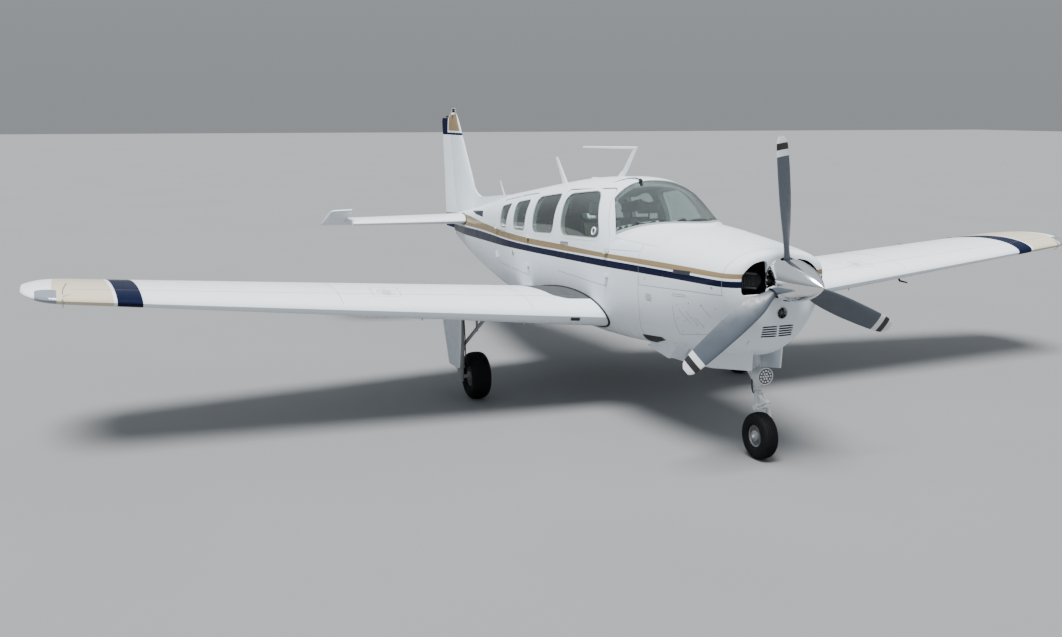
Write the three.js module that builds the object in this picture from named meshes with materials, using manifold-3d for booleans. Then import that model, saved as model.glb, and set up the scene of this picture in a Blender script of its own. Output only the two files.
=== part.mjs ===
// Single-engine low-wing light aircraft on retractable tricycle gear, parked with its gear down.
// Millimetres. +X is forward, +Y is port, +Z is up. The origin is on the ground, below the middle of
// the aircraft's box.

import * as THREE from 'three';
import { mergeVertices } from 'three/addons/utils/BufferGeometryUtils.js';
import Module from 'manifold-3d';

// Gaps: a still seam between panels, round a moving piece, round a rounded nose, and round a pin.
const SEAM = 0.3;
const CLEAR = 5;
const COVE = 7;
const PIN_GAP = 0.4;

// Fuselage stations along X.
const CAP_X = 3670;
const BOWL_X = 3450;
const FIREWALL_X = 2760;
const BULKHEAD_X = -1300;
const TAIL_X = -3860;
const CABIN_WALL = 46;
const COWL_WALL = 22;
const CONE_WALL = 12;
const FLOOR_TOP = 915;
const FLOOR_THICK = 22;
const ROOF_HALF = 300;
const DECK_SEAM_X = 2165;
const DECK_SEAM_Z = 1500;
const COWL_SEAM_Z = 1235;

// Body sections from the tail to the windscreen's posts: station, crown height, keel height, half
// width, height of the widest line, roundness above it and roundness below it (2 is an ellipse,
// more is squarer).
const BODY = [
  [-3960, 1235, 1030, 30, 1130, 2.0, 2.0],
  [-3400, 1300, 905, 110, 1130, 2.1, 2.3],
  [-2700, 1408, 800, 235, 1150, 2.3, 2.6],
  [-1900, 1555, 700, 355, 1215, 2.5, 2.8],
  [-1200, 1680, 640, 455, 1270, 2.8, 3.0],
  [-500, 1780, 612, 541, 1295, 2.9, 3.1],
  [300, 1896, 600, 581, 1300, 3.0, 3.2],
  [1000, 1984, 598, 588, 1300, 3.05, 3.2],
  [1500, 2006, 606, 588, 1300, 2.85, 3.2],
  [1900, 1976, 626, 584, 1300, 2.15, 3.1],
];

// Nose sections below the windscreen, in the same columns.
const NOSE = [
  [1900, 1692, 626, 584, 1300, 2.6, 3.1],
  [2350, 1688, 662, 569, 1300, 2.55, 2.9],
  [2780, 1672, 702, 545, 1300, 2.5, 2.7],
  [3300, 1636, 766, 487, 1335, 2.4, 2.1],
  [3500, 1620, 802, 455, 1365, 2.35, 1.85],
  [3600, 1608, 845, 425, 1390, 2.3, 1.75],
  [3645, 1598, 885, 390, 1400, 2.3, 1.75],
  [CAP_X, 1586, 960, 352, 1405, 2.3, 1.8],
];

// Windscreen sections that stand on the nose, in the same columns.
const SCREEN = [
  [1900, 1976, 1080, 584, 1300, 2.15, 2.0],
  [2130, 1890, 1100, 560, 1300, 1.88, 2.0],
  [2300, 1820, 1100, 500, 1300, 1.9, 2.0],
  [2450, 1762, 1100, 420, 1300, 2.0, 2.0],
  [2620, 1698, 1100, 300, 1300, 2.1, 2.0],
  [2700, 1640, 1100, 220, 1300, 2.0, 2.0],
];

// Side windows: corners (x, z) at the lower aft, lower front, upper front and upper aft.
const WINDOWS = [
  [[1050, 1470], [1850, 1520], [1580, 1908], [1000, 1840]],
  [[360, 1425], [870, 1462], [880, 1838], [305, 1762]],
  [[-205, 1395], [140, 1415], [125, 1727], [-280, 1668]],
  [[-680, 1375], [-460, 1382], [-440, 1645], [-770, 1588]],
];
const WINDOW_ROUND = [110, 80, 70, 50];
const GLASS_INSET = 4;
const GLASS_THICK = 8;

// Doors on the starboard side: corners (x, z), and the hinge line's lower point and lean.
const FRONT_DOOR = [[965, 1130], [2030, 1130], [2000, 1520], [1705, 1936], [935, 1876]];
const CARGO_FRONT = [[-325, 985], [255, 985], [255, 1440], [195, 1795], [-345, 1725]];
const CARGO_REAR = [[-790, 985], [-340, 985], [-360, 1721], [-860, 1640], [-835, 1390]];

// Wing and tail plan: quarter-chord line, chords, heights, thicknesses and incidences.
const WING = {
  tip: 5105, quarterX: 1432, rootChord: 2134, tipChord: 1067, rootZ: 777, rise: 0.0915,
  rootThick: 0.148, tipThick: 0.108, rootPitch: 3, tipPitch: 0, camber: 0.02,
};
const TIP_SEAM_Y = 4790;
const FLAP_ROOT_Y = 660;
const FLAP_END_Y = 2760;
const AILERON_END_Y = 4660;
const FLAP_PART = 0.24;
const AILERON_PART = 0.22;
const TAIL_Z = 1240;
const TAIL_SPAN = 1854;
const HORN_Y = 1610;
const ELEVATOR_DROOP = 18;

// Wheels and gear.
const MAIN_X = 1030;
const MAIN_Y = 1400;
const MAIN_R = 215;
const NOSE_AXLE_X = 3508;
const NOSE_R = 178;

// Propeller.
const HUB_X = 3778;
const HUB_Z = 1405;
const PROP_R = 1016;
const SPINNER_BACK = 3718;
const SPINNER_TIP = 4190;
const SPINNER_R = 158;
const BLADE_START = 6.75;

const WHITE = ['#eef0f1', 0.25, 0.0];
const GREY = ['#8f979c', 0.5, 0.3];
const BLACK = ['#1b1c1e', 0.7, 0.0];
const GLASS = ['#b9d6d0', 0.1, 0.0];
const METAL = ['#c9ccd0', 0.3, 0.9];
const BLADE = ['#6f7a85', 0.5, 0.2];
const CLOTH = ['#8d8a86', 0.9, 0.0];

const wasm = await Module();
wasm.setup();
const aircraft = new THREE.Group();

// Solids.

function solid(geometry) {
  const bare = geometry.clone();
  bare.deleteAttribute('normal');
  bare.deleteAttribute('uv');
  const merged = mergeVertices(bare, 1e-4);
  const triVerts = new Uint32Array(merged.index.array);
  const vertProperties = new Float32Array(merged.attributes.position.array);
  const made = new wasm.Manifold(new wasm.Mesh({ numProp: 3, vertProperties, triVerts }));
  if (made.volume() > 0) return made;
  for (let i = 0; i < triVerts.length; i += 3) {
    [triVerts[i], triVerts[i + 1]] = [triVerts[i + 1], triVerts[i]];
  }
  return new wasm.Manifold(new wasm.Mesh({ numProp: 3, vertProperties, triVerts }));
}

function add(name, shape, [color, roughness, metalness], mirrored = false) {
  const { vertProperties, triVerts } = shape.getMesh();
  const geometry = new THREE.BufferGeometry();
  geometry.setAttribute('position', new THREE.BufferAttribute(vertProperties, 3));
  geometry.setIndex(new THREE.BufferAttribute(triVerts, 1));
  geometry.computeVertexNormals();
  const mesh = new THREE.Mesh(geometry, new THREE.MeshStandardMaterial({ color, roughness, metalness }));
  mesh.name = name;
  if (mirrored) mesh.scale.y = -1;
  aircraft.add(mesh);
}

// A starboard piece and its port twin.
function addPair(name, shape, finish) {
  add(`${name}_right`, shape, finish);
  add(`${name}_left`, shape, finish, true);
}

function moved(shape, move) {
  const { vertProperties, triVerts } = shape.getMesh();
  const geometry = new THREE.BufferGeometry();
  geometry.setAttribute('position', new THREE.BufferAttribute(vertProperties.slice(), 3));
  geometry.setIndex(new THREE.BufferAttribute(triVerts.slice(), 1));
  return solid(move(geometry));
}

// The same solid on the other side of the aircraft.
const mirror = (shape) => moved(shape, (geometry) => geometry.scale(1, -1, 1));

function box(x0, x1, y0, y1, z0, z1) {
  const geometry = new THREE.BoxGeometry(x1 - x0, y1 - y0, z1 - z0);
  return solid(geometry.translate((x0 + x1) / 2, (y0 + y1) / 2, (z0 + z1) / 2));
}

function rod(from, to, r0, r1 = r0, sides = 12) {
  const a = new THREE.Vector3(...from);
  const b = new THREE.Vector3(...to);
  const along = b.clone().sub(a);
  const geometry = new THREE.CylinderGeometry(r1, r0, along.length(), sides);
  geometry.applyQuaternion(new THREE.Quaternion().setFromUnitVectors(
    new THREE.Vector3(0, 1, 0), along.normalize()));
  return solid(geometry.translate(...a.add(b).multiplyScalar(0.5).toArray()));
}

// A flat outline with rounded corners, pushed along one axis. Outlines across Y are (x, z), across
// Z (x, y) and across X (y, z).
function outline(points, round = 0, inset = 0) {
  const shape = new THREE.Shape();
  const corners = points.map(([u, v]) => new THREE.Vector2(u, v));
  const n = corners.length;
  const inner = corners.map((p, i) => {
    const before = p.clone().sub(corners[(i + n - 1) % n]).normalize();
    const after = corners[(i + 1) % n].clone().sub(p).normalize();
    const turn = before.clone().add(after).normalize();
    const normal = new THREE.Vector2(-turn.y, turn.x);
    return p.clone().addScaledVector(normal, inset / normal.dot(new THREE.Vector2(-after.y, after.x)));
  });
  const cut = Math.max(round - inset, 0);
  inner.forEach((p, i) => {
    const back = inner[(i + n - 1) % n].clone().sub(p).setLength(cut).add(p);
    const ahead = inner[(i + 1) % n].clone().sub(p).setLength(cut).add(p);
    if (i === 0) shape.moveTo(back.x, back.y);
    else shape.lineTo(back.x, back.y);
    if (round > inset) shape.quadraticCurveTo(p.x, p.y, ahead.x, ahead.y);
  });
  return shape;
}

function prism(axis, shape, low, high) {
  const geometry = new THREE.ExtrudeGeometry(shape, {
    depth: high - low, bevelEnabled: false, curveSegments: 2,
  });
  if (axis === 'z') geometry.translate(0, 0, low);
  if (axis === 'y') geometry.rotateX(Math.PI / 2).translate(0, high, 0);
  if (axis === 'x') geometry.rotateZ(Math.PI / 2).rotateY(Math.PI / 2).translate(low, 0, 0);
  return solid(geometry);
}

// A closed body through rings of points, each end closed round its middle.
function loft(rings) {
  const n = rings[0].length;
  const positions = [];
  const index = [];
  for (const ring of rings) for (const p of ring) positions.push(...p);
  for (let i = 0; i + 1 < rings.length; i++) {
    for (let j = 0; j < n; j++) {
      const a = i * n + j;
      const b = i * n + ((j + 1) % n);
      index.push(a, b, b + n, a, b + n, a + n);
    }
  }
  for (const [ring, flip] of [[0, true], [rings.length - 1, false]]) {
    const middle = rings[ring].reduce((sum, p) => sum.map((v, i) => v + p[i] / n), [0, 0, 0]);
    const centre = positions.length / 3;
    positions.push(...middle);
    for (let j = 0; j < n; j++) {
      const a = ring * n + j;
      const b = ring * n + ((j + 1) % n);
      index.push(...(flip ? [centre, b, a] : [centre, a, b]));
    }
  }
  const geometry = new THREE.BufferGeometry();
  geometry.setAttribute('position', new THREE.Float32BufferAttribute(positions, 3));
  geometry.setIndex(index);
  return solid(geometry);
}

// Smooth values between a table's rows.
function between(table, x) {
  const last = table.length - 1;
  let i = 0;
  while (i < last - 1 && x > table[i + 1][0]) i += 1;
  const [p, q] = [table[i], table[i + 1]];
  const h = q[0] - p[0];
  const t = (x - p[0]) / h;
  const slope = (k, c) => {
    const a = table[Math.max(k - 1, 0)];
    const b = table[Math.min(k + 1, last)];
    return (b[c] - a[c]) / (b[0] - a[0]);
  };
  return p.map((value, c) => (c === 0 ? x : (2 * t ** 3 - 3 * t ** 2 + 1) * value
    + (t ** 3 - 2 * t ** 2 + t) * h * slope(i, c) + (3 * t ** 2 - 2 * t ** 3) * q[c]
    + (t ** 3 - t ** 2) * h * slope(i + 1, c)));
}

const RING_SIDES = 24;
const lobe = (value, round) => Math.sign(value) * Math.abs(value) ** (2 / round);

function sectionRing(x, top, bottom, half, wide, roundTop, roundBottom) {
  return Array.from({ length: RING_SIDES }, (_, k) => {
    const angle = (2 * Math.PI * k) / RING_SIDES;
    const upper = Math.sin(angle) >= 0;
    const round = upper ? roundTop : roundBottom;
    const reach = upper ? top - wide : wide - bottom;
    return [x, half * lobe(Math.cos(angle), round), wide + reach * lobe(Math.sin(angle), round)];
  });
}

// A table's stations, with one more halfway along each long stretch.
const LONG_STRETCH = 750;

function stations(table) {
  return table.flatMap(([x], i) => {
    const next = i + 1 < table.length ? table[i + 1][0] : x;
    return next - x > LONG_STRETCH ? [x, (x + next) / 2] : [x];
  });
}

function bodyPart(table, grow) {
  return loft(stations(table).map((x) => {
    const [, top, bottom, half, wide, roundTop, roundBottom] = between(table, x);
    return sectionRing(x, top + grow, bottom - grow, half + grow, wide, roundTop, roundBottom);
  }));
}

// The fuselage, grown outward by the given amount: without its windscreen, and whole.
const hull = (grow) => bodyPart(BODY, grow).add(bodyPart(NOSE, grow));
const fuselage = (grow) => hull(grow).add(bodyPart(SCREEN, grow));

const slab = (x0, x1) => box(x0, x1, -900, 900, 300, 2400);

// Aerofoil sections, from the trailing edge over the top to the nose and back below.
const FOIL_STEPS = 7;

const halfThick = (thick, u) => 5 * thick * (0.2969 * Math.sqrt(u) - 0.126 * u - 0.3516 * u ** 2
  + 0.2843 * u ** 3 - 0.1036 * u ** 4);

function foil(thick, camber, blunt, steps = FOIL_STEPS) {
  const points = [];
  for (let k = 0; k <= steps; k++) {
    const u = (1 + Math.cos((Math.PI * k) / steps)) / 2;
    const half = halfThick(thick, u) + blunt * u;
    const mean = camber * 4 * u * (1 - u);
    points.push([u, mean, half]);
  }
  const upper = points.map(([u, mean, half]) => [u, mean + half]);
  const lower = points.slice(0, -1).reverse().map(([u, mean, half]) => [u, mean - half]);
  return [...upper, ...lower];
}

function wingChord(y) {
  return WING.rootChord + ((WING.tipChord - WING.rootChord) * y) / WING.tip;
}

function wingPoint(y, u, v) {
  const chord = wingChord(y);
  const part = y / WING.tip;
  const pitch = THREE.MathUtils.degToRad(WING.rootPitch + (WING.tipPitch - WING.rootPitch) * part);
  const dx = (0.25 - u) * chord;
  const dz = v * chord;
  const z0 = WING.rootZ + WING.rise * y;
  return [WING.quarterX + dx * Math.cos(pitch) - dz * Math.sin(pitch), -y,
    z0 + dx * Math.sin(pitch) + dz * Math.cos(pitch)];
}

function wingBody(y0, y1, steps, grow = 0) {
  return loft(Array.from({ length: steps + 1 }, (_, k) => {
    const y = y0 + ((y1 - y0) * k) / steps;
    const part = y / WING.tip;
    const thick = WING.rootThick + (WING.tipThick - WING.rootThick) * part + (2.4 * grow) / wingChord(y);
    return foil(thick, WING.camber, 0.0015).map(([u, v]) => wingPoint(y, u, v));
  }));
}

// The rounded tip: the section shrinks towards the outermost line, further back than the nose.
function wingTipBody() {
  const rows = [[0, 1, 0], [0.35, 0.97, 0.01], [0.65, 0.87, 0.035], [0.88, 0.66, 0.08], [1, 0.34, 0.14]];
  return loft(rows.map(([out, size, back]) => {
    const y = TIP_SEAM_Y + SEAM + (WING.tip - TIP_SEAM_Y - SEAM) * out;
    const thick = WING.tipThick * (size < 1 ? 0.25 + 0.75 * size : 1);
    const centre = 0.42 + back;
    return foil(thick, WING.camber, 0.0015)
      .map(([u, v]) => wingPoint(y, centre + (u - centre) * size, v * size));
  }));
}

const lerp3 = (a, b, t) => a.map((v, i) => v + (b[i] - v) * t);

// Cabin and fuselage panels.

const outer = fuselage(0);
const inner = fuselage(-CABIN_WALL);
const outsideHalf = fuselage(SEAM);
const outside = outsideHalf.add(mirror(outsideHalf));
const cabinShell = outer.intersect(slab(BULKHEAD_X, FIREWALL_X)).subtract(inner);

const sidePrism = (points, round, inset, y0 = -800, y1 = -200) =>
  prism('y', outline(points, round, inset), y0, y1);
const glassLayer = fuselage(-GLASS_INSET).subtract(fuselage(-GLASS_INSET - GLASS_THICK));

// Windscreen: bounded in plan by the roof and the posts, and below by the deck.
const SCREEN_BACK = [[1722, 0], [1740, 200], [1782, 400], [2060, 520], [2100, 640]];
const SCREEN_LOW = 1575;

function screenCutter(inset) {
  const half = SCREEN_BACK.map(([x, y]) => [x + inset, y]);
  const plan = [[2720, -640], [2720, 640], ...half.slice().reverse(),
    ...half.slice(1).map(([x, y]) => [x, -y])];
  return prism('z', outline(plan), SCREEN_LOW + inset, 2200).subtract(bodyPart(NOSE, 24 + inset));
}

const windowCuts = WINDOWS.map((corners, i) => sidePrism(corners, WINDOW_ROUND[i], 0));
const leftWindowCuts = WINDOWS.map((corners, i) => sidePrism(corners, WINDOW_ROUND[i], 0, 200, 800));
const doorCuts = [FRONT_DOOR, CARGO_FRONT, CARGO_REAR].map((points) => sidePrism(points, 40, 0));
const openShell = cabinShell.subtract(screenCutter(0));

const GEAR_BAY = { back: 2380, front: 3442, half: 120, top: 1000 };
const gearBay = box(GEAR_BAY.back, GEAR_BAY.front, -GEAR_BAY.half, GEAR_BAY.half, 500, GEAR_BAY.top);
const belly = openShell.intersect(box(-2000, 3000, -900, 900, 300, FLOOR_TOP)).subtract(gearBay);
const floor = hull(-CABIN_WALL / 2).intersect(box(BULKHEAD_X, FIREWALL_X - 60, -900, 900,
  FLOOR_TOP - FLOOR_THICK, FLOOR_TOP));

// Cowl flaps, open: a plate under the belly with a cheek on its outer side. Outlines are (x, z).
const FLAP_CHEEK = [[2240, 645], [2600, 609], [2755, 760], [2755, 800], [2440, 800]];
const FLAP_PLATE = [[2240, 645], [2600, 609], [2755, 760], [2755, 775], [2595, 621], [2240, 656]];
const FLAP_SPAN = { outer: -290, cheek: -279, inner: -150 };
const cowlFlap = prism('y', outline(FLAP_CHEEK), FLAP_SPAN.outer, FLAP_SPAN.cheek)
  .add(prism('y', outline(FLAP_PLATE), FLAP_SPAN.outer, FLAP_SPAN.inner)).subtract(hull(-CABIN_WALL / 2));
add('cabin_belly', belly.add(floor).add(cowlFlap).add(mirror(cowlFlap)), WHITE);

// Blade antennas lean back: foot and tip as [x, z, chord], rooted halfway into the wall.
function bladeAntenna(foot, tip, rooted) {
  return loft([foot, tip].map(([x, z, chord]) => foil(0.14, 0, 0.02, 6)
    .map(([u, v]) => [x - u * chord, v * chord, z]))).subtract(hull(-rooted));
}
const roofBlade = bladeAntenna([-40, 1800, 150], [-360, 2112, 62], CABIN_WALL / 2);
add('cabin_roof', openShell.intersect(box(-2000, 2100, -ROOF_HALF, ROOF_HALF, 1500, 2300))
  .add(roofBlade), WHITE);
add('forward_deck', openShell.intersect(box(DECK_SEAM_X, 3000, -900, 900, DECK_SEAM_Z, 2300)), WHITE);

const sideSpan = box(-2000, DECK_SEAM_X - SEAM, -900, -ROOF_HALF - SEAM, FLOOR_TOP + SEAM, 2300)
  .add(box(-2000, 3000, -900, 0, FLOOR_TOP + SEAM, DECK_SEAM_Z - SEAM));
const plainSide = openShell.intersect(sideSpan);
let rightSide = plainSide.subtract(windowCuts[1]);
for (const cut of doorCuts) rightSide = rightSide.subtract(cut);
const leftSpan = box(-2000, DECK_SEAM_X - SEAM, ROOF_HALF + SEAM, 900, FLOOR_TOP + SEAM, 2300)
  .add(box(-2000, 3000, 0, 900, FLOOR_TOP + SEAM, DECK_SEAM_Z - SEAM));
let leftSide = openShell.intersect(leftSpan);
for (const cut of leftWindowCuts) leftSide = leftSide.subtract(cut);

// Doors, each with knuckles on its hinge line beside the panel's own.
const KNUCKLE_R = 8;
const KNUCKLE_LONG = 34;
const STRAP = 28;
const DOORS = [
  { name: 'front_door', corners: FRONT_DOOR, window: 0, hinge: [2024, -600, 1180], lean: [-0.077, 0, 1],
    arm: 1, heights: [1180, 1400] },
  { name: 'cargo_door_front', corners: CARGO_FRONT, window: 2, hinge: [252.5, -592, 1040], lean: [0, 0, 1],
    arm: 1, heights: [1040, 1320] },
  { name: 'cargo_door_rear', corners: CARGO_REAR, window: 3, hinge: [-794, -522, 1040], lean: [-0.111, 0, 1],
    arm: -1, heights: [1040, 1300] },
];

function onHinge({ hinge, lean }, z) {
  return hinge.map((v, i) => v + lean[i] * (z - hinge[2]));
}

// A barrel on the hinge line, with a strap that turns into the skin on one side.
function knuckle(low, high, side) {
  const along = (near, far) => [Math.min(low[0] + side * near, low[0] + side * far),
    Math.max(low[0] + side * near, low[0] + side * far)];
  const strap = box(...along(0, STRAP), low[1] - 3, low[1] + 5, low[2] + 3, high[2] - 3);
  const foot = box(...along(STRAP - 14, STRAP), low[1] - 3, low[1] + 40, low[2] + 3, high[2] - 3);
  return rod(low, high, KNUCKLE_R, KNUCKLE_R, 10).add(strap).add(foot);
}

// A door's upper edge stays lower than its opening, because it rises along the opening as it swings.
const TOP_DROP = 6;

for (const door of DOORS) {
  const corners = door.corners.map(([x, z]) => [x, z > DECK_SEAM_Z ? z - TOP_DROP : z]);
  let panel = cabinShell.intersect(sidePrism(corners, 40, CLEAR, -800, -ROOF_HALF - CLEAR))
    .subtract(sidePrism(WINDOWS[door.window], WINDOW_ROUND[door.window], 0));
  for (const z of door.heights) {
    const low = onHinge(door, z);
    const middle = onHinge(door, z + KNUCKLE_LONG);
    const above = onHinge(door, z + KNUCKLE_LONG + PIN_GAP);
    const high = onHinge(door, z + 2 * KNUCKLE_LONG);
    panel = panel.add(knuckle(low, middle, -door.arm));
    rightSide = rightSide.add(knuckle(above, high, door.arm));
  }
  door.panel = panel;
}
add('cabin_side_right', rightSide, WHITE);
add('cabin_side_left', leftSide, WHITE);
for (const { name, panel } of DOORS) add(name, panel, WHITE);

// Glass.
const pane = (i, y0, y1) => glassLayer.intersect(sidePrism(WINDOWS[i], WINDOW_ROUND[i], SEAM + 0.2, y0, y1));
add('windscreen', glassLayer.intersect(screenCutter(SEAM + 0.4)), GLASS);
add('front_door_window', pane(0, -800, -200), GLASS);
add('window_right', pane(1, -800, -200), GLASS);
add('cargo_window_front', pane(2, -800, -200), GLASS);
add('cargo_window_rear', pane(3, -800, -200), GLASS);
WINDOWS.forEach((_, i) => add(`window_left_${i + 1}`, pane(i, 200, 800), GLASS));

// Firewall and aft bulkhead fit inside the skins.
const FRAME_THICK = 20;
add('firewall', hull(-CABIN_WALL - SEAM).intersect(slab(FIREWALL_X - FRAME_THICK, FIREWALL_X)), GREY);
add('aft_bulkhead', outer.intersect(slab(BULKHEAD_X + 1, BULKHEAD_X + 1 + FRAME_THICK))
  .intersect(fuselage(-CABIN_WALL - SEAM))
  .subtract(box(-2000, 0, -900, 900, 300, FLOOR_TOP + SEAM)), GREY);

// Tail cone, open at its front, with the tailplane passing through.
const coneInner = fuselage(-CONE_WALL).intersect(slab(-3700, BULKHEAD_X + 50));
const cone = outer.intersect(slab(TAIL_X, BULKHEAD_X - SEAM)).subtract(coneInner);

// Tail surfaces: rows give the span position, leading edge, trailing edge and thickness ratio.
const TAILPLANE = [[0, -2660, -3720, 0.1], [TAIL_SPAN - 60, -2850, -3640, 0.09]];
const HINGE_PART = 0.66;

function tailRing([y, front, back, thick], blunt = 0.002, squash = 1) {
  const chord = front - back;
  return foil(thick * squash, 0, blunt).map(([u, v]) => [front - u * chord, -y, TAIL_Z + v * chord]);
}

function tailRow(y) {
  const t = y / TAILPLANE[1][0];
  return lerp3(TAILPLANE[0], TAILPLANE[1], t);
}

function tailBody(y0, grow = 0) {
  const row = (y) => {
    const [a, front, back, thick] = tailRow(y);
    return [a, front + grow, back - grow, thick + (2.4 * grow) / (front - back)];
  };
  const end = row(TAIL_SPAN - 60);
  const tip = [TAIL_SPAN, end[1] - 60, end[2] + 40, end[3]];
  return loft([tailRing(row(y0)), tailRing(row((y0 + HORN_Y) / 2)), tailRing(row(HORN_Y)),
    tailRing(end), tailRing(tip, 0.002, 0.45)]);
}

const elevatorHinge = (y) => {
  const [, front, back] = tailRow(y);
  return [front - HINGE_PART * (front - back), -y, TAIL_Z];
};
const ELEVATOR_ROOT = 130;
const TRUNK_R = 16;
const hingeLine = elevatorHinge(0)[0];
const straightHinge = (y) => [hingeLine, -y, TAIL_Z];
const elevatorR = (y) => {
  const [, front, back, thick] = tailRow(y);
  return 0.33 * thick * (front - back);
};
const rightTail = tailBody(0);
const tailClearance = tailBody(0, SEAM);
const elevatorNose = rod(straightHinge(ELEVATOR_ROOT), straightHinge(HORN_Y + 40),
  elevatorR(0) - 4, elevatorR(HORN_Y));
const elevatorCove = rod(straightHinge(ELEVATOR_ROOT - CLEAR), straightHinge(HORN_Y - CLEAR),
  elevatorR(0) + CLEAR, elevatorR(HORN_Y) + COVE);
const elevatorTrunk = rod(straightHinge(0), straightHinge(ELEVATOR_ROOT + 20), TRUNK_R);
const behindHinge = box(-4300, hingeLine, -TAIL_SPAN - 10, -ELEVATOR_ROOT, 1000, 1700)
  .add(box(-4300, 0, -TAIL_SPAN - 10, -HORN_Y, 1000, 1700));
const rightElevator = rightTail.intersect(behindHinge).add(elevatorNose);
const tailClear = box(-4300, hingeLine + 1, -HORN_Y - 100, -ELEVATOR_ROOT + CLEAR, 1000, 1700)
  .add(box(-4300, 0, -TAIL_SPAN - 10, -HORN_Y + CLEAR, 1000, 1700))
  .add(box(-4300, hingeLine + TRUNK_R + PIN_GAP, -ELEVATOR_ROOT, 1, 1000, 1700)).add(elevatorCove);
const rightPlane = rightTail.subtract(tailClear);

add('tailplane', rightPlane.add(mirror(rightPlane)), WHITE);
const elevators = rightElevator.add(elevatorTrunk).add(mirror(rightElevator.add(elevatorTrunk)));
add('elevators', moved(elevators, (g) => g.translate(-hingeLine, 0, -TAIL_Z)
  .rotateY(THREE.MathUtils.degToRad(-ELEVATOR_DROOP)).translate(hingeLine, 0, TAIL_Z)), WHITE);

// Fin and rudder: rows give height, leading edge, trailing edge and thickness ratio.
const FIN = [[1010, -2760, -3960, 0.068], [1700, -3030, -4060, 0.075], [2440, -3600, -4193, 0.07],
  [2500, -3655, -4180, 0.05], [2545, -3700, -3900, 0.05]];
const finRing = ([z, front, back, thick]) => foil(thick, 0, 0.002)
  .map(([u, v]) => [front - u * (front - back), v * (front - back), z]);
const finBody = loft(FIN.map(finRing));
const fillet = loft([[1240, -2700, -3400, 0.03], [1540, -2750, -3400, 0.05], [1570, -2880, -3400, 0.06],
  [1640, -2990, -3400, 0.07], [1760, -3075, -3400, 0.08]].map(finRing));
const STRAKE = [[-3100, 1250], [-1250, 1400], [-1460, 1652], [-2700, 1534], [-3100, 1540]];
const STRAKE_HALF = 20;
const strake = prism('y', outline(STRAKE), -STRAKE_HALF, STRAKE_HALF);
const RUDDER_LOW = [-3587, 0, 1020];
const RUDDER_HIGH = [-3968, 0, 2490];
const RUDDER_TURN = 10;
const PIN_TOP = 2493;
const alongRudder = (z) => lerp3(RUDDER_LOW, RUDDER_HIGH,
  (z - RUDDER_LOW[2]) / (RUDDER_HIGH[2] - RUDDER_LOW[2]));
const RUDDER_FOOT = [[alongRudder(1045)[0] + 5, 1045], [-3920, 1060], [-4400, 1060]];
const rudderBack = prism('y', outline([...RUDDER_FOOT.slice().reverse(), [RUDDER_HIGH[0], RUDDER_HIGH[2]],
  [-4400, RUDDER_HIGH[2]]]), -200, 200);
const rudderFoil = loft(FIN.slice(0, 3).map(finRing));
const rudderNose = rod(alongRudder(1045), lerp3(RUDDER_LOW, RUDDER_HIGH, 0.98), 28, 13);
const rudderPin = rod(alongRudder(2400), alongRudder(PIN_TOP), 6, 6, 10);
const straightRudder = rudderFoil.intersect(rudderBack).add(rudderNose).add(rudderPin);
const rudderAxis = new THREE.Vector3(...RUDDER_HIGH).sub(new THREE.Vector3(...RUDDER_LOW)).normalize();
const rudderTurn = new THREE.Quaternion().setFromAxisAngle(rudderAxis, THREE.MathUtils.degToRad(RUDDER_TURN));
const rudder = moved(straightRudder, (g) => g.translate(-RUDDER_LOW[0], 0, -RUDDER_LOW[2])
  .applyQuaternion(rudderTurn).translate(RUDDER_LOW[0], 0, RUDDER_LOW[2]));
const rudderClear = prism('y', outline([[-4400, 1000], [-4400, RUDDER_HIGH[2] + CLEAR],
  [RUDDER_HIGH[0] + 2, RUDDER_HIGH[2] + CLEAR], [RUDDER_LOW[0] + 2 * COVE, 1000]]), -200, 200)
  .add(rod(alongRudder(960), alongRudder(PIN_TOP + PIN_GAP), 28 + COVE, 13 + COVE));
const beacon = rod([-3820, 0, 2520], [-3820, 0, 2625], 34, 26);
const strakeBlade = bladeAntenna([-1840, 1530, 75], [-2060, 1772, 34], 0);
const fin = finBody.add(fillet).add(strake).add(strakeBlade).add(beacon)
  .subtract(rudderClear).subtract(outside);
add('fin', fin, WHITE);
add('rudder', rudder, WHITE);
add('tail_cone', cone.subtract(tailClearance).subtract(mirror(tailClearance)).subtract(rudderClear)
  .subtract(rod([hingeLine, -300, TAIL_Z], [hingeLine, 300, TAIL_Z], TRUNK_R + 2 * PIN_GAP)), WHITE);

// Wings, with the flap and aileron cut from the trailing edge.
const wing = wingBody(300, TIP_SEAM_Y, 3).subtract(outside);

function hingePoint(y, part) {
  return wingPoint(y, 1 - part, WING.camber * 4 * part * (1 - part));
}
function hingeRadius(y, part) {
  const thick = WING.rootThick + (WING.tipThick - WING.rootThick) * (y / WING.tip);
  return 0.98 * halfThick(thick, 1 - part) * wingChord(y);
}

// What lies behind the hinge line between two span stations, with a round nose about that line.
function hinged(y0, y1, part, grow) {
  const [a, b] = [y0, y1].map((y) => hingePoint(y, part));
  const spare = 40;
  const nose = rod(hingePoint(y0 - spare, part), hingePoint(y1 + spare, part),
    hingeRadius(y0 - spare, part) + grow, hingeRadius(y1 + spare, part) + grow, 20);
  const behind = prism('z', outline([[a[0], a[1]], [-900, a[1]], [-900, b[1]], [b[0], b[1]]]), 300, 2000);
  return nose.intersect(box(-900, 2000, -y1, -y0, 300, 2000)).add(behind);
}

// Its ends stand off the wing, because a swept hinge line swings them sideways; a pin fills the gap.
const END_GAP = 12;

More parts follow.
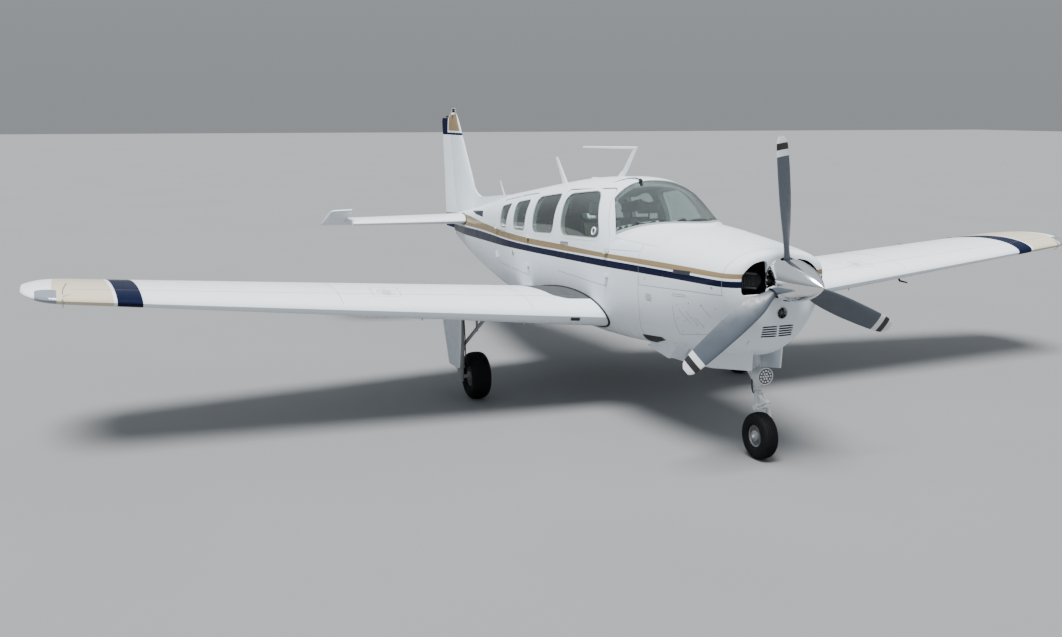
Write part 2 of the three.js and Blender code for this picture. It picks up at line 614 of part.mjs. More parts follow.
function flapLike(y0, y1, part) {
  const bay = hinged(y0, y1, part, COVE);
  const pin = rod(hingePoint(y0 - END_GAP, part), hingePoint(y1 + END_GAP, part), 7)
    .intersect(box(-900, 2000, 2 * PIN_GAP - y1, -y0 - 2 * PIN_GAP, 300, 2000));
  const surface = wing.intersect(hinged(y0 + END_GAP, y1 - END_GAP, part, 0)).add(pin);
  return { surface, bay };
}

const flap = flapLike(FLAP_ROOT_Y, FLAP_END_Y, FLAP_PART);
const aileron = flapLike(FLAP_END_Y + 20, AILERON_END_Y, AILERON_PART);
addPair('wing', wing.subtract(flap.bay).subtract(aileron.bay), WHITE);
addPair('flap', flap.surface, WHITE);
addPair('aileron', aileron.surface, WHITE);
addPair('wing_tip', wingTipBody(), WHITE);

// Cowling: a shell with a front wall, cut by the inlets and the nose gear bay.
const cowlOuter = hull(0).intersect(slab(FIREWALL_X + SEAM, CAP_X + 10));
const cowlInner = hull(-COWL_WALL).intersect(slab(FIREWALL_X - 10, CAP_X - 30));
const INLET = [[-95, 1290], [-325, 1290], [-330, 1440], [-240, 1520], [-120, 1545]];
const inletCut = prism('x', outline(INLET, 30), 3560, 3720);
const GRILLE = { slots: 5, inner: 8, outer: 132, low: 972, pitch: 18, slot: 11 };
const VENT = { y: 40, z: 1143, radius: 28 };
const cowl = cowlOuter.subtract(cowlInner)
  .subtract(gearBay);
let bowl = cowl.intersect(slab(BOWL_X + SEAM, CAP_X + 20)).subtract(inletCut)
  .subtract(mirror(inletCut)).subtract(rod([3600, 0, HUB_Z], [3720, 0, HUB_Z], 84))
  .subtract(rod([3560, VENT.y, VENT.z], [3720, VENT.y, VENT.z], VENT.radius, VENT.radius, 20));
for (let k = 0; k < GRILLE.slots; k += 1) {
  const z = GRILLE.low + k * GRILLE.pitch;
  for (const side of [-1, 1]) {
    const [y0, y1] = [side * GRILLE.inner, side * GRILLE.outer].sort((a, b) => a - b);
    bowl = bowl.subtract(box(3560, 3720, y0, y1, z, z + GRILLE.slot));
  }
}
add('nose_bowl', bowl, WHITE);
add('cowling_upper', cowl.intersect(box(2700, BOWL_X, -900, 900, COWL_SEAM_Z + SEAM, 2000)), WHITE);
add('cowling_lower', cowl.intersect(box(2700, BOWL_X, -900, 900, 300, COWL_SEAM_Z)), WHITE);

// Engine: one block on its mount, with the shaft to the propeller.
const ENGINE = { x0: 2880, x1: 3500, half: 370, z0: 1150, z1: 1450 };
let engine = box(ENGINE.x0, ENGINE.x1, -ENGINE.half, ENGINE.half, ENGINE.z0, ENGINE.z1)
  .add(box(ENGINE.x0, ENGINE.x1 - 180, -260, 260, 1010, ENGINE.z0 + 10))
  .add(rod([ENGINE.x1 - 10, 0, HUB_Z], [SPINNER_BACK - PIN_GAP, 0, HUB_Z], 52));
for (const y of [-200, 200]) {
  for (const z of [1180, 1410]) {
    engine = engine.add(rod([ENGINE.x0 + 20, y, z], [FIREWALL_X + SEAM, y, z], 16));
  }
}
add('engine_block', engine, BLACK);

// Propeller: hub and blades, under a hollow spinner.
const spinnerProfile = (inset) => [[0, 1], [0.25, 0.965], [0.45, 0.86], [0.65, 0.665], [0.82, 0.41],
  [0.95, 0.15], [1, 0]].map(([t, r]) => new THREE.Vector2(Math.max(SPINNER_R * r - inset, 0),
  (SPINNER_TIP - SPINNER_BACK - inset * 2) * t));
function spun(profile, x) {
  const geometry = new THREE.LatheGeometry([new THREE.Vector2(0, profile[0].y), ...profile], 20);
  return solid(geometry.rotateZ(-Math.PI / 2).translate(x, 0, HUB_Z));
}
const bladeAngles = [0, 1, 2].map((k) => THREE.MathUtils.degToRad(BLADE_START + k * 120));
const atHub = (angle, r) => [HUB_X, -r * Math.sin(angle), HUB_Z + r * Math.cos(angle)];

// Blade rows: radius, chord, thickness ratio and pitch in degrees.
const BLADE_ROWS = [[120, 62, 0.95, 40], [190, 84, 0.46, 44], [300, 148, 0.2, 40], [500, 168, 0.13, 31],
  [720, 160, 0.1, 25], [900, 140, 0.08, 21], [985, 112, 0.08, 19], [PROP_R, 56, 0.08, 19]];

function blade(angle) {
  const rings = BLADE_ROWS.map(([r, chord, thick, pitch]) => {
    const turn = THREE.MathUtils.degToRad(90 - pitch);
    return foil(thick, 0.01, 0.02, 5).map(([u, v]) => {
      const across = (u - 0.4) * chord;
      const deep = v * chord;
      return new THREE.Vector3(deep * Math.sin(turn) - across * Math.cos(turn),
        across * Math.sin(turn) + deep * Math.cos(turn), r)
        .applyAxisAngle(new THREE.Vector3(1, 0, 0), angle)
        .add(new THREE.Vector3(HUB_X, 0, HUB_Z)).toArray();
    });
  });
  return loft(rings).add(rod([HUB_X, 0, HUB_Z], atHub(angle, 140), 34));
}

let propeller = rod([SPINNER_BACK + 6, 0, HUB_Z], [HUB_X + 70, 0, HUB_Z], 78)
  .add(rod([SPINNER_BACK, 0, HUB_Z], [SPINNER_BACK + 8, 0, HUB_Z], SPINNER_R - 9.4, SPINNER_R - 9.4, 24));
let spinner = spun(spinnerProfile(0), SPINNER_BACK)
  .subtract(spun(spinnerProfile(7), SPINNER_BACK - 1));
for (const angle of bladeAngles) {
  propeller = propeller.add(blade(angle));
  spinner = spinner.subtract(rod(atHub(angle, 90), atHub(angle, 220), 48));
}
add('propeller', propeller, BLADE);
add('spinner', spinner, METAL);

// Nose gear: the leg leans forward and carries the landing lamp, and the fork turns about it.
const STEER_TOP = [3364, 0, 960];
const STEER_LOW = [NOSE_AXLE_X, 0, NOSE_R];
const onLeg = (t) => lerp3(STEER_LOW, STEER_TOP, t);
const LEG_SPLIT = 0.44;
const SHOULDER = onLeg(0.62);
const CROWN = onLeg(0.27);
const ARM_Y = 90;
const LAMP = { back: 3440, front: 3552, z: 645, radius: 66 };
add('nose_leg', rod(onLeg(LEG_SPLIT), SHOULDER, 28, 38).add(rod(SHOULDER, STEER_TOP, 38))
  .add(rod(onLeg(LEG_SPLIT), onLeg(LEG_SPLIT + 0.018), 37))
  .add(rod([LAMP.back, 0, LAMP.z], [LAMP.front, 0, LAMP.z], LAMP.radius - 14, LAMP.radius, 24))
  .add(rod([3380, 0, 930], [FIREWALL_X + SEAM, 0, 930], 30))
  .add(rod(onLeg(0.47), [3000, 0, 900], 12)).add(rod([3000, 0, 900], [3000, 0, 930], 14)), GREY);
const forkGap = 1 / new THREE.Vector3(...STEER_LOW).distanceTo(new THREE.Vector3(...STEER_TOP));
let fork = rod(CROWN, onLeg(LEG_SPLIT - PIN_GAP * forkGap), 23)
  .add(rod(onLeg(0.4), onLeg(0.425), 34))
  .add(box(CROWN[0] - 32, CROWN[0] + 32, -36, ARM_Y + 9, CROWN[2] - 14, CROWN[2] + 14))
  .add(rod([CROWN[0], ARM_Y, CROWN[2]], [NOSE_AXLE_X, ARM_Y, NOSE_R - 18], 17))
  .add(rod([NOSE_AXLE_X, -62, NOSE_R], [NOSE_AXLE_X, ARM_Y, NOSE_R], 12));

// Torque links: two struts to a pin ahead of the piston, and two back to the crown.
const LINK_PIN = [3585, 0, 456];
fork = fork.add(rod([LINK_PIN[0], -14, LINK_PIN[2]], [LINK_PIN[0], 14, LINK_PIN[2]], 10));
for (const y of [-1, 1]) {
  for (const [t, spread] of [[0.412, 26], [0.285, 22]]) {
    const [x, , z] = onLeg(t);
    fork = fork.add(rod([x + 12, y * spread, z], [LINK_PIN[0], y * 7, LINK_PIN[2]], 7, 7, 10));
  }
}
add('nose_fork', fork, METAL);

// Wheels: a rim and a tyre turned about the axle.
// A wheel's flats, one of them level at the bottom, touch its true radius.
const WHEEL_SIDES = 20;

function turned(profile, x, y, z) {
  const outward = 1 / Math.cos(Math.PI / WHEEL_SIDES);
  const points = [...profile, profile[0]].map(([r, w]) => new THREE.Vector2(r * outward, w));
  const geometry = new THREE.LatheGeometry(points, WHEEL_SIDES, Math.PI / WHEEL_SIDES);
  return solid(geometry.translate(x, y, z));
}
function wheel(x, y, r, rimR, width, bore) {
  const half = width / 2;
  const face = [[bore, 0.8], [rimR * 0.48, 0.8], [rimR * 0.56, 0.35], [rimR * 0.86, 0.35], [rimR, 0.72]];
  const rim = turned([...face.map(([a, w]) => [a, -w * half]),
    ...face.slice().reverse().map(([a, w]) => [a, w * half])], x, y, r);
  const inside = rimR + SEAM + 0.1;
  const side = [[inside, 0.72], [rimR + (r - rimR) * 0.45, 1], [rimR + (r - rimR) * 0.82, 0.86],
    [r - 3, 0.5], [r, 0.24]];
  const tyre = turned([...side.map(([a, w]) => [a, -w * half]),
    ...side.slice().reverse().map(([a, w]) => [a, w * half])], x, y, r);
  return { rim, tyre };
}
const noseWheel = wheel(NOSE_AXLE_X, 0, NOSE_R, 82, 126, 12.5);
add('nose_rim', noseWheel.rim, METAL);
add('nose_tyre', noseWheel.tyre, BLACK);
const mainWheel = wheel(MAIN_X, -MAIN_Y, MAIN_R, 92, 172, 18.5);
addPair('main_rim', mainWheel.rim, METAL);
addPair('main_tyre', mainWheel.tyre, BLACK);

// Main gear: a leg outboard of each wheel, with its door on its outer side.
const LEG_Y = -MAIN_Y - 150;
const wingCut = wingBody(300, 3000, 2, SEAM);
const mainLeg = rod([MAIN_X, LEG_Y, 300], [MAIN_X, LEG_Y, 900], 36)
  .add(rod([MAIN_X, LEG_Y, MAIN_R - 40], [MAIN_X, LEG_Y, 320], 30))
  .add(rod([MAIN_X, LEG_Y, MAIN_R], [MAIN_X, -MAIN_Y + 80, MAIN_R], 18))
  .add(rod([MAIN_X, LEG_Y, 470], [MAIN_X, LEG_Y + 330, 840], 16)).subtract(wingCut);
addPair('main_leg', mainLeg, GREY);
const MAIN_DOOR = [[-60, 325], [90, 325], [130, 560], [150, 900], [-400, 900], [-370, 740], [-185, 410]];
const mainDoor = prism('y', outline(MAIN_DOOR.map(([dx, z]) => [MAIN_X + dx, z])),
  LEG_Y - 50, LEG_Y - 36 - SEAM).subtract(wingCut);
addPair('main_door', mainDoor, WHITE);

// Nose gear doors hang from the edges of the bay.
const NOSE_DOOR = [[2383, 555], [2684, 572], [3020, 606], [3548, 699], [3560, 860], [2570, 860],
  [2570, 664]];
const noseDoor = prism('y', outline(NOSE_DOOR), -GEAR_BAY.half - 14, -GEAR_BAY.half - 2)
  .subtract(hull(SEAM));
addPair('nose_door', noseDoor, WHITE);

// Cabin fittings: panel with its yokes, and seats on the floor.
const cabinSpace = hull(-CABIN_WALL - SEAM);
let panel = cabinSpace.intersect(box(2080, 2150, -900, 900, 1180, 1625));
for (const y of [-250, 250]) {
  panel = panel.add(rod([2085, y, 1430], [1940, y, 1430], 11, 11, 12))
    .add(box(1925, 1945, y - 130, y + 130, 1412, 1448))
    .add(box(1925, 1945, y - 130, y - 100, 1412, 1520)).add(box(1925, 1945, y + 100, y + 130, 1412, 1520));
}
add('instrument_panel', panel, BLACK);

// Seats: the outline of cushion and back in (x, z) for a seat facing forward, about its own middle.
const SEAT = [[-235, 0], [-215, 0], [-215, 170], [190, 170], [190, 0], [215, 0], [250, 230],
  [245, 330], [-150, 300], [-290, 790], [-300, 980], [-375, 980], [-385, 790], [-250, 240]];
function seat(x, y, width, facing, scale) {
  const points = SEAT.map(([u, v]) => [x + u * facing * scale, FLOOR_TOP + SEAM + v * scale]);
  return prism('y', outline(facing > 0 ? points : points.reverse()), y - width / 2, y + width / 2);
}
const SEATS = [['front', 1520, 246, 430, 1, 0.9], ['middle', 520, 262, 430, -1, 0.88]];
for (const [name, x, y, width, facing, size] of SEATS) {
  addPair(`seat_${name}`, seat(x, -y, width, facing, size), CLOTH);
}
add('seat_rear', seat(-370, 0, 760, 1, 0.68), CLOTH);

// Roof antenna: a raked mast with a long bar.
const mast = loft([[0, 1092, 95], [1, 1375, 60]].map(([t, x, chord]) => foil(0.3, 0, 0.02)
  .map(([u, v]) => [x + 45 - u * chord, v * chord, 1950 + 320 * t]))).add(
  rod([1400, 0, 2262], [270, 0, 2235], 12, 8, 10)).subtract(outside);
add('antenna_mast', mast, WHITE);

export default aircraft;
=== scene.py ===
from math import ceil, copysign, cos, exp, pi, radians, sin, sqrt

import bpy
from mathutils import Matrix, Vector


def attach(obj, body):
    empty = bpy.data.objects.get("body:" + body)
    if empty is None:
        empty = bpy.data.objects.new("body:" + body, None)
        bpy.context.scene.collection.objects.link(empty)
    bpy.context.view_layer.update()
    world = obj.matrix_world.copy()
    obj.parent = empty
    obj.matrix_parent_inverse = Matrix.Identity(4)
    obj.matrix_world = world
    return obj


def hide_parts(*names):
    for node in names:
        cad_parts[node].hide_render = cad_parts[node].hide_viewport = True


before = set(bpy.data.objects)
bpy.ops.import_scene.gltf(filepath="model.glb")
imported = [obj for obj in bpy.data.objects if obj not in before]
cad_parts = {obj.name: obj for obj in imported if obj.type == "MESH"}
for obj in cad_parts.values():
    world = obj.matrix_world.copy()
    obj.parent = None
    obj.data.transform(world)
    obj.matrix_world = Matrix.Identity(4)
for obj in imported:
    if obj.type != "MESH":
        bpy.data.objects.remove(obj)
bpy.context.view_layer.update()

# Single-engine low-wing light aircraft, parked on its gear. Metres: +X is forward, +Y is port and
# +Z is up, with the origin on the ground below the middle of the aircraft.

# Sizes of the construction, as in the part's source.
CABIN_WALL = 0.046
COWL_WALL = 0.022
CONE_WALL = 0.012
FIREWALL_X = 2.76
BOWL_X = 3.45
CAP_X = 3.67
BULKHEAD_X = -1.3
FLOOR_TOP = 0.915
ROOF_HALF = 0.3
DECK_SEAM_X = 2.165
DECK_SEAM_Z = 1.5
COWL_SEAM_Z = 1.235
# Nose gear bay: back, front, low, top and half width.
GEAR_BAY = (2.38, 3.442, 0.5, 1.0, 0.12)

# Body sections: station, crown height, keel height, half width, height of the widest line, and
# roundness above and below it (2 is an ellipse, more is squarer).
BODY = [
    (-3.96, 1.235, 1.03, 0.03, 1.13, 2.0, 2.0),
    (-3.4, 1.3, 0.905, 0.11, 1.13, 2.1, 2.3),
    (-2.7, 1.408, 0.8, 0.235, 1.15, 2.3, 2.6),
    (-1.9, 1.555, 0.7, 0.355, 1.215, 2.5, 2.8),
    (-1.2, 1.68, 0.64, 0.455, 1.27, 2.8, 3.0),
    (-0.5, 1.78, 0.612, 0.541, 1.295, 2.9, 3.1),
    (0.3, 1.896, 0.6, 0.581, 1.3, 3.0, 3.2),
    (1.0, 1.984, 0.598, 0.588, 1.3, 3.05, 3.2),
    (1.5, 2.006, 0.606, 0.588, 1.3, 2.85, 3.2),
    (1.9, 1.976, 0.626, 0.584, 1.3, 2.15, 3.1),
]
NOSE = [
    (1.9, 1.692, 0.626, 0.584, 1.3, 2.6, 3.1),
    (2.35, 1.688, 0.662, 0.569, 1.3, 2.55, 2.9),
    (2.78, 1.672, 0.702, 0.545, 1.3, 2.5, 2.7),
    (3.3, 1.636, 0.766, 0.487, 1.335, 2.4, 2.1),
    (3.5, 1.62, 0.802, 0.455, 1.365, 2.35, 1.85),
    (3.6, 1.608, 0.845, 0.425, 1.39, 2.3, 1.75),
    (3.645, 1.598, 0.885, 0.39, 1.4, 2.3, 1.75),
    (3.67, 1.586, 0.96, 0.352, 1.405, 2.3, 1.8),
]
SCREEN = [
    (1.9, 1.976, 1.08, 0.584, 1.3, 2.15, 2.0),
    (2.13, 1.89, 1.1, 0.56, 1.3, 1.88, 2.0),
    (2.3, 1.82, 1.1, 0.5, 1.3, 1.9, 2.0),
    (2.45, 1.762, 1.1, 0.42, 1.3, 2.0, 2.0),
    (2.62, 1.698, 1.1, 0.3, 1.3, 2.1, 2.0),
    (2.7, 1.64, 1.1, 0.22, 1.3, 2.0, 2.0),
]

# Side windows and doors: corners (x, z).
WINDOWS = [
    [(1.05, 1.47), (1.85, 1.52), (1.58, 1.908), (1.0, 1.84)],
    [(0.36, 1.425), (0.87, 1.462), (0.88, 1.838), (0.305, 1.762)],
    [(-0.205, 1.395), (0.14, 1.415), (0.125, 1.727), (-0.28, 1.668)],
    [(-0.68, 1.375), (-0.46, 1.382), (-0.44, 1.645), (-0.77, 1.588)],
]
WINDOW_ROUND = [0.11, 0.08, 0.07, 0.05]
FRONT_DOOR = [(0.965, 1.13), (2.03, 1.13), (2.0, 1.52), (1.705, 1.936), (0.935, 1.876)]
CARGO_FRONT = [(-0.325, 0.985), (0.255, 0.985), (0.255, 1.44), (0.195, 1.795), (-0.345, 1.725)]
CARGO_REAR = [(-0.79, 0.985), (-0.34, 0.985), (-0.36, 1.721), (-0.86, 1.64), (-0.835, 1.39)]
DOOR_ROUND = 0.05
DOOR_GAP = 0.005
SCREEN_BACK = [(1.722, 0), (1.74, 0.2), (1.782, 0.4), (2.06, 0.52), (2.1, 0.64)]
SCREEN_LOW = 1.575

# Wing and tail plan.
WING_TIP = 5.105
QUARTER_X = 1.432
ROOT_CHORD = 2.134
TIP_CHORD = 1.067
ROOT_Z = 0.777
RISE = 0.0915
ROOT_THICK = 0.148
TIP_THICK = 0.108
ROOT_PITCH = 3.0
TIP_PITCH = 0.0
CAMBER = 0.02
TIP_SEAM_Y = 4.79
FLAP_ROOT_Y = 0.66
FLAP_END_Y = 2.76
AILERON_END_Y = 4.66
FLAP_PART = 0.24
AILERON_PART = 0.22
END_GAP = 0.012
COVE = 0.007
TAIL_Z = 1.24
TAIL_SPAN = 1.854
HORN_Y = 1.61
ELEVATOR_DROOP = 18.0
TAILPLANE = [(0.0, -2.66, -3.72, 0.1), (TAIL_SPAN - 0.06, -2.85, -3.64, 0.09)]
HINGE_PART = 0.66
FIN = [(1.01, -2.76, -3.96, 0.068), (1.7, -3.03, -4.06, 0.075), (2.44, -3.6, -4.193, 0.07),
       (2.5, -3.655, -4.18, 0.05), (2.545, -3.7, -3.9, 0.05)]
RUDDER_LOW = Vector((-3.587, 0, 1.02))
RUDDER_HIGH = Vector((-3.968, 0, 2.49))
RUDDER_TURN = 10.0

# Wheels, gear and propeller.
MAIN_X = 1.03
MAIN_Y = 1.4
MAIN_R = 0.215
NOSE_AXLE_X = 3.508
NOSE_R = 0.178
HUB_X = 3.778
HUB_Z = 1.405
PROP_R = 1.016
SPINNER_BACK = 3.718
SPINNER_TIP = 4.19
SPINNER_R = 0.158
BLADE_START = 6.75

# Bands at the blade tips: radius where each begins, and its colour.
BLADE_BANDS = [(0.88, (0.7, 0.71, 0.72)), (0.925, (0.015, 0.015, 0.017)), (0.972, (0.7, 0.71, 0.72))]

# Stripe edges along the fuselage: height of each edge at some stations.
GOLD_TOP = [(-3.96, 1.24), (-3.1, 1.29), (-2.6, 1.318), (-1.36, 1.335), (0.03, 1.351), (1.06, 1.385),
            (1.9, 1.407), (2.85, 1.44), (3.7, 1.449)]
GOLD_LOW = [(-3.96, 1.13), (-3.2, 1.16), (-2.6, 1.195), (-1.36, 1.257), (0.03, 1.29), (1.06, 1.331),
            (1.9, 1.367), (2.85, 1.397), (3.7, 1.414)]
NAVY_TOP = [(-3.96, 1.105), (-3.2, 1.138), (-2.6, 1.175), (-1.36, 1.238), (0.03, 1.277), (1.06, 1.317),
            (1.9, 1.351), (2.85, 1.384), (3.7, 1.395)]
NAVY_LOW = [(-3.96, 1.03), (-3.3, 1.045), (-2.6, 1.078), (-1.37, 1.145), (0.03, 1.213), (1.06, 1.257),
            (1.9, 1.291), (2.85, 1.331), (3.7, 1.349)]

WHITE = (0.8, 0.855, 0.91)
GOLD = (0.27, 0.2, 0.11)
NAVY = (0.006, 0.009, 0.03)
WING_GOLD = (0.62, 0.55, 0.42)


# Camera, floor and light.

# The camera as fitted to the photo: its place and axes, and lengths in the photo's pixels.
CAMERA_PLACE = Vector((10.32729, -4.64468, 2.58454))
CAMERA_RIGHT = Vector((0.37631, 0.92649, 0.00261))
CAMERA_AHEAD = Vector((-0.90983, 0.37007, -0.18778))
PHOTO_WIDE, FOCAL, SHIFT = 1062, 1107.55, 4.04
SENSOR = 36
FLOOR_TONES = ((0.2, 0.203, 0.206), (0.225, 0.228, 0.231))
SUN = {"place": Vector((2.6, -2.4, 10)), "energy": 7.2, "degrees": 28}
# The sky's colours from below upward: place on the ramp and colour.
SKY = [(0.0, (0.4, 0.42, 0.44)), (0.14, (0.44, 0.47, 0.5)), (0.5, (0.86, 0.93, 1.0))]
SKY_STRENGTH = 0.72


def place_new(name, data):
    obj = bpy.data.objects.new(name, data)
    bpy.context.scene.collection.objects.link(obj)
    return obj


def add_camera():
    data = bpy.data.cameras.new("camera")
    camera = place_new("camera", data)
    ahead = CAMERA_AHEAD.normalized()
    up = CAMERA_RIGHT.normalized().cross(ahead).normalized()
    place = Matrix((ahead.cross(up).normalized(), up, -ahead)).transposed().to_4x4()
    place.translation = CAMERA_PLACE
    camera.matrix_world = place
    data.sensor_width = SENSOR
    data.lens = SENSOR * FOCAL / PHOTO_WIDE
    data.shift_y = SHIFT / PHOTO_WIDE
    data.clip_end = 300
    bpy.context.scene.camera = camera


def add_floor():
    bpy.ops.mesh.primitive_plane_add(size=240)
    floor = bpy.context.object
    floor.name = "floor"
    look = Look("studio_floor")
    floor.data.materials.append(look.finish(look.mix(look.noise(0.35, 3), *FLOOR_TONES), 0.85))


def add_sky():
    world = bpy.data.worlds.new("studio")
    bpy.context.scene.world = world
    world.use_nodes = True
    nodes, links = world.node_tree.nodes, world.node_tree.links
    coord, split, ramp = (nodes.new(f"ShaderNode{kind}") for kind in ("TexCoord", "SeparateXYZ", "ValToRGB"))
    links.new(coord.outputs["Generated"], split.inputs[0])
    links.new(split.outputs[2], ramp.inputs[0])
    links.new(ramp.outputs[0], nodes["Background"].inputs[0])
    nodes["Background"].inputs[1].default_value = SKY_STRENGTH
    stops = ramp.color_ramp.elements
    stops.new(SKY[1][0])
    for stop, (place, color) in zip(stops, SKY):
        stop.position, stop.color = place, (*color, 1)


def add_sun():
    data = bpy.data.lights.new("key", "SUN")
    data.energy = SUN["energy"]
    data.angle = radians(SUN["degrees"])
    sun = place_new("key", data)
    sun.location = SUN["place"]
    sun.rotation_euler = (-SUN["place"]).to_track_quat("-Z", "Y").to_euler()


# Materials.

class Look:
    """A node material that is put together from a few sockets."""

    def __init__(self, name):
        self.material = bpy.data.materials.new(name)
        self.material.use_nodes = True
        self.nodes = self.material.node_tree.nodes
        self.links = self.material.node_tree.links
        self.shader = self.nodes["Principled BSDF"]

    def place(self):
        return self.nodes.new("ShaderNodeTexCoord").outputs["Object"]

    def axes(self):
        split = self.nodes.new("ShaderNodeSeparateXYZ")
        self.links.new(self.place(), split.inputs[0])
        return split.outputs

    def put(self, value, socket):
        if isinstance(value, bpy.types.NodeSocket):
            self.links.new(value, socket)
        elif isinstance(value, tuple) and socket.type == "RGBA":
            socket.default_value = (*value, 1)
        else:
            socket.default_value = value

    def math(self, operation, *values, clamp=False):
        node = self.nodes.new("ShaderNodeMath")
        node.operation = operation
        node.use_clamp = clamp
        for value, socket in zip(values, node.inputs):
            self.put(value, socket)
        return node.outputs[0]

    def mix(self, amount, first, second, how="MIX"):
        node = self.nodes.new("ShaderNodeMix")
        node.data_type = "RGBA"
        node.blend_type = how
        for value, socket in ((amount, node.inputs[0]), (first, node.inputs[6]), (second, node.inputs[7])):
            self.put(value, socket)
        return node.outputs[2]

    def length(self, a, b):
        squares = [self.math("MULTIPLY", v, v) for v in (a, b)]
        return self.math("SQRT", self.math("ADD", *squares))

    def noise(self, scale, detail=2):
        node = self.nodes.new("ShaderNodeTexNoise")
        node.inputs["Scale"].default_value = scale
        node.inputs["Detail"].default_value = detail
        self.links.new(self.place(), node.inputs["Vector"])
        return node.outputs[0]

    def spread(self, value, low, high, to_low=0.0, to_high=1.0):
        node = self.nodes.new("ShaderNodeMapRange")
        for number, socket in zip((low, high, to_low, to_high), node.inputs[1:5]):
            socket.default_value = number
        self.links.new(value, node.inputs[0])
        return node.outputs[0]

    def curve(self, x, points, low, high):
        """The height of a curve through (x, z) points, read at x."""
        node = self.nodes.new("ShaderNodeFloatCurve")
        x0, x1 = points[0][0], points[-1][0]
        marks = node.mapping.curves[0].points
        while len(marks) < len(points):
            marks.new(0.5, 0.5)
        for mark, (a, b) in zip(marks, points):
            mark.location = ((a - x0) / (x1 - x0), (b - low) / (high - low))
        node.mapping.update()
        self.put(self.spread(x, x0, x1), node.inputs["Value"])
        return self.math("MULTIPLY_ADD", node.outputs[0], high - low, low)

    def above(self, value, edge, soft=0.0015):
        """1 where value is over edge, 0 below it."""
        over = self.math("SUBTRACT", value, edge)
        return self.math("MULTIPLY_ADD", over, 1 / soft, 0.5, clamp=True)

    def band(self, value, low, high):
        return self.math("SUBTRACT", self.above(value, low), self.above(value, high), clamp=True)

    def bump(self, height, strength, distance):
        node = self.nodes.new("ShaderNodeBump")
        node.inputs["Strength"].default_value = strength
        node.inputs["Distance"].default_value = distance
        self.links.new(height, node.inputs["Height"])
        self.links.new(node.outputs[0], self.shader.inputs["Normal"])

    def finish(self, color, roughness=0.5, **sockets):
        self.put(color, self.shader.inputs["Base Color"])
        self.put(roughness, self.shader.inputs["Roughness"])
        for name, value in sockets.items():
            self.put(value, self.shader.inputs[name.replace("_", " ")])
        return self.material


def gloss_paint(name, colour_of):
    """Aircraft enamel: colour_of paints the stripes over the white."""
    look = Look(name)
    x, y, z = look.axes()
    color = colour_of(look, x, y, z)
    stain = look.spread(look.noise(1.3, 3), 0.35, 0.8, 0.0, 0.35)
    color = look.mix(stain, color, (0.86, 0.87, 0.87), "MULTIPLY")
    rough = look.spread(look.noise(9, 4), 0.3, 0.7, 0.2, 0.32)
    look.bump(look.noise(2.0, 0), 0.08, 0.003)
    return look.finish(color, rough, Specular_IOR_Level=0.015, Coat_Weight=0.1, Coat_Roughness=0.04)


def striped(look, x, y, z):
    edges = [look.curve(x, points, 0.9, 1.5) for points in (GOLD_TOP, GOLD_LOW, NAVY_TOP, NAVY_LOW)]
    color = look.mix(look.band(z, edges[1], edges[0]), WHITE, GOLD)
    return look.mix(look.band(z, edges[3], edges[2]), color, NAVY)


def plain_white(look, x, y, z):
    return look.mix(look.noise(0.8, 2), WHITE, tuple(0.97 * v for v in WHITE))


# Bands towards the wing tip, by distance out at the leading edge, and how they lean outward behind it.
TIP_BANDS = {"navy": (4.258, 4.436), "gold": (4.46, 4.885), "lean": 0.075, "edge_x": 1.74}


def tip_striped(look, x, y, z):
    """Out along the wing: a navy band, a white line and gold up to the white cap."""
    across = look.math("ABSOLUTE", y)
    lean = TIP_BANDS["lean"]
    slant = look.math("ADD", look.math("MULTIPLY_ADD", x, lean, across), -lean * TIP_BANDS["edge_x"])
    color = look.mix(look.band(slant, *TIP_BANDS["navy"]), WHITE, NAVY)
    gold = look.math("MULTIPLY", look.above(slant, TIP_BANDS["gold"][0]),
                     look.math("SUBTRACT", 1.0, look.above(across, TIP_BANDS["gold"][1])))
    return look.mix(gold, color, WING_GOLD)


FIN_BAND_Z = 2.27
FIN_SLOPE = 0.77
# The patch and its edge: tone, height over the band, how far back it goes, and how near the front edge.
FIN_PATCH = [(WHITE, 0.03, -4.0, -1.0), (GOLD, 0.052, -3.978, -1.745)]


def fin_striped(look, x, y, z):
    """A navy band round the top with a gold patch that is edged in white, and the body's stripes below."""
    low = striped(look, x, y, z)
    low = look.mix(look.above(z, 1.42), low, WHITE)
    color = look.mix(look.above(z, FIN_BAND_Z), low, NAVY)
    front = look.math("MULTIPLY_ADD", z, FIN_SLOPE, x)
    for tone, rise, back, lead in FIN_PATCH:
        patch = look.math("MULTIPLY", look.above(z, FIN_BAND_Z + rise), look.above(x, back))
        patch = look.math("MULTIPLY", patch, look.math("SUBTRACT", 1.0, look.above(front, lead)))
        color = look.mix(patch, color, tone)
    return color


def glass_look(name, low, high, ior):
    look = Look(name)
    smear = look.noise(3.0, 4)
    return look.finish(look.mix(smear, low, high), look.spread(smear, 0.3, 0.8, 0.0, 0.03),
                       Transmission_Weight=1.0, IOR=ior)


def blade_look():
    """Grey paint with patchy grime, and a white, a black and a white band at the tip."""
    look = Look("blade_paint")
    x, y, z = look.axes()
    out = look.length(y, look.math("SUBTRACT", z, HUB_Z))
    grime = look.spread(look.noise(5, 5), 0.4, 0.75, 0.0, 0.35)
    color = look.mix(grime, (0.07, 0.085, 0.105), (0.042, 0.05, 0.062))
    for start, tone in BLADE_BANDS:
        color = look.mix(look.above(out, start), color, tone)
    return look.finish(color, look.spread(look.noise(20, 3), 0.3, 0.7, 0.3, 0.5))


def lens_look():
    look = Look("clear_lens")
    return look.finish(look.mix(look.noise(30, 2), (0.75, 0.78, 0.8), (0.88, 0.9, 0.92)), 0.12, Metallic=0.7)


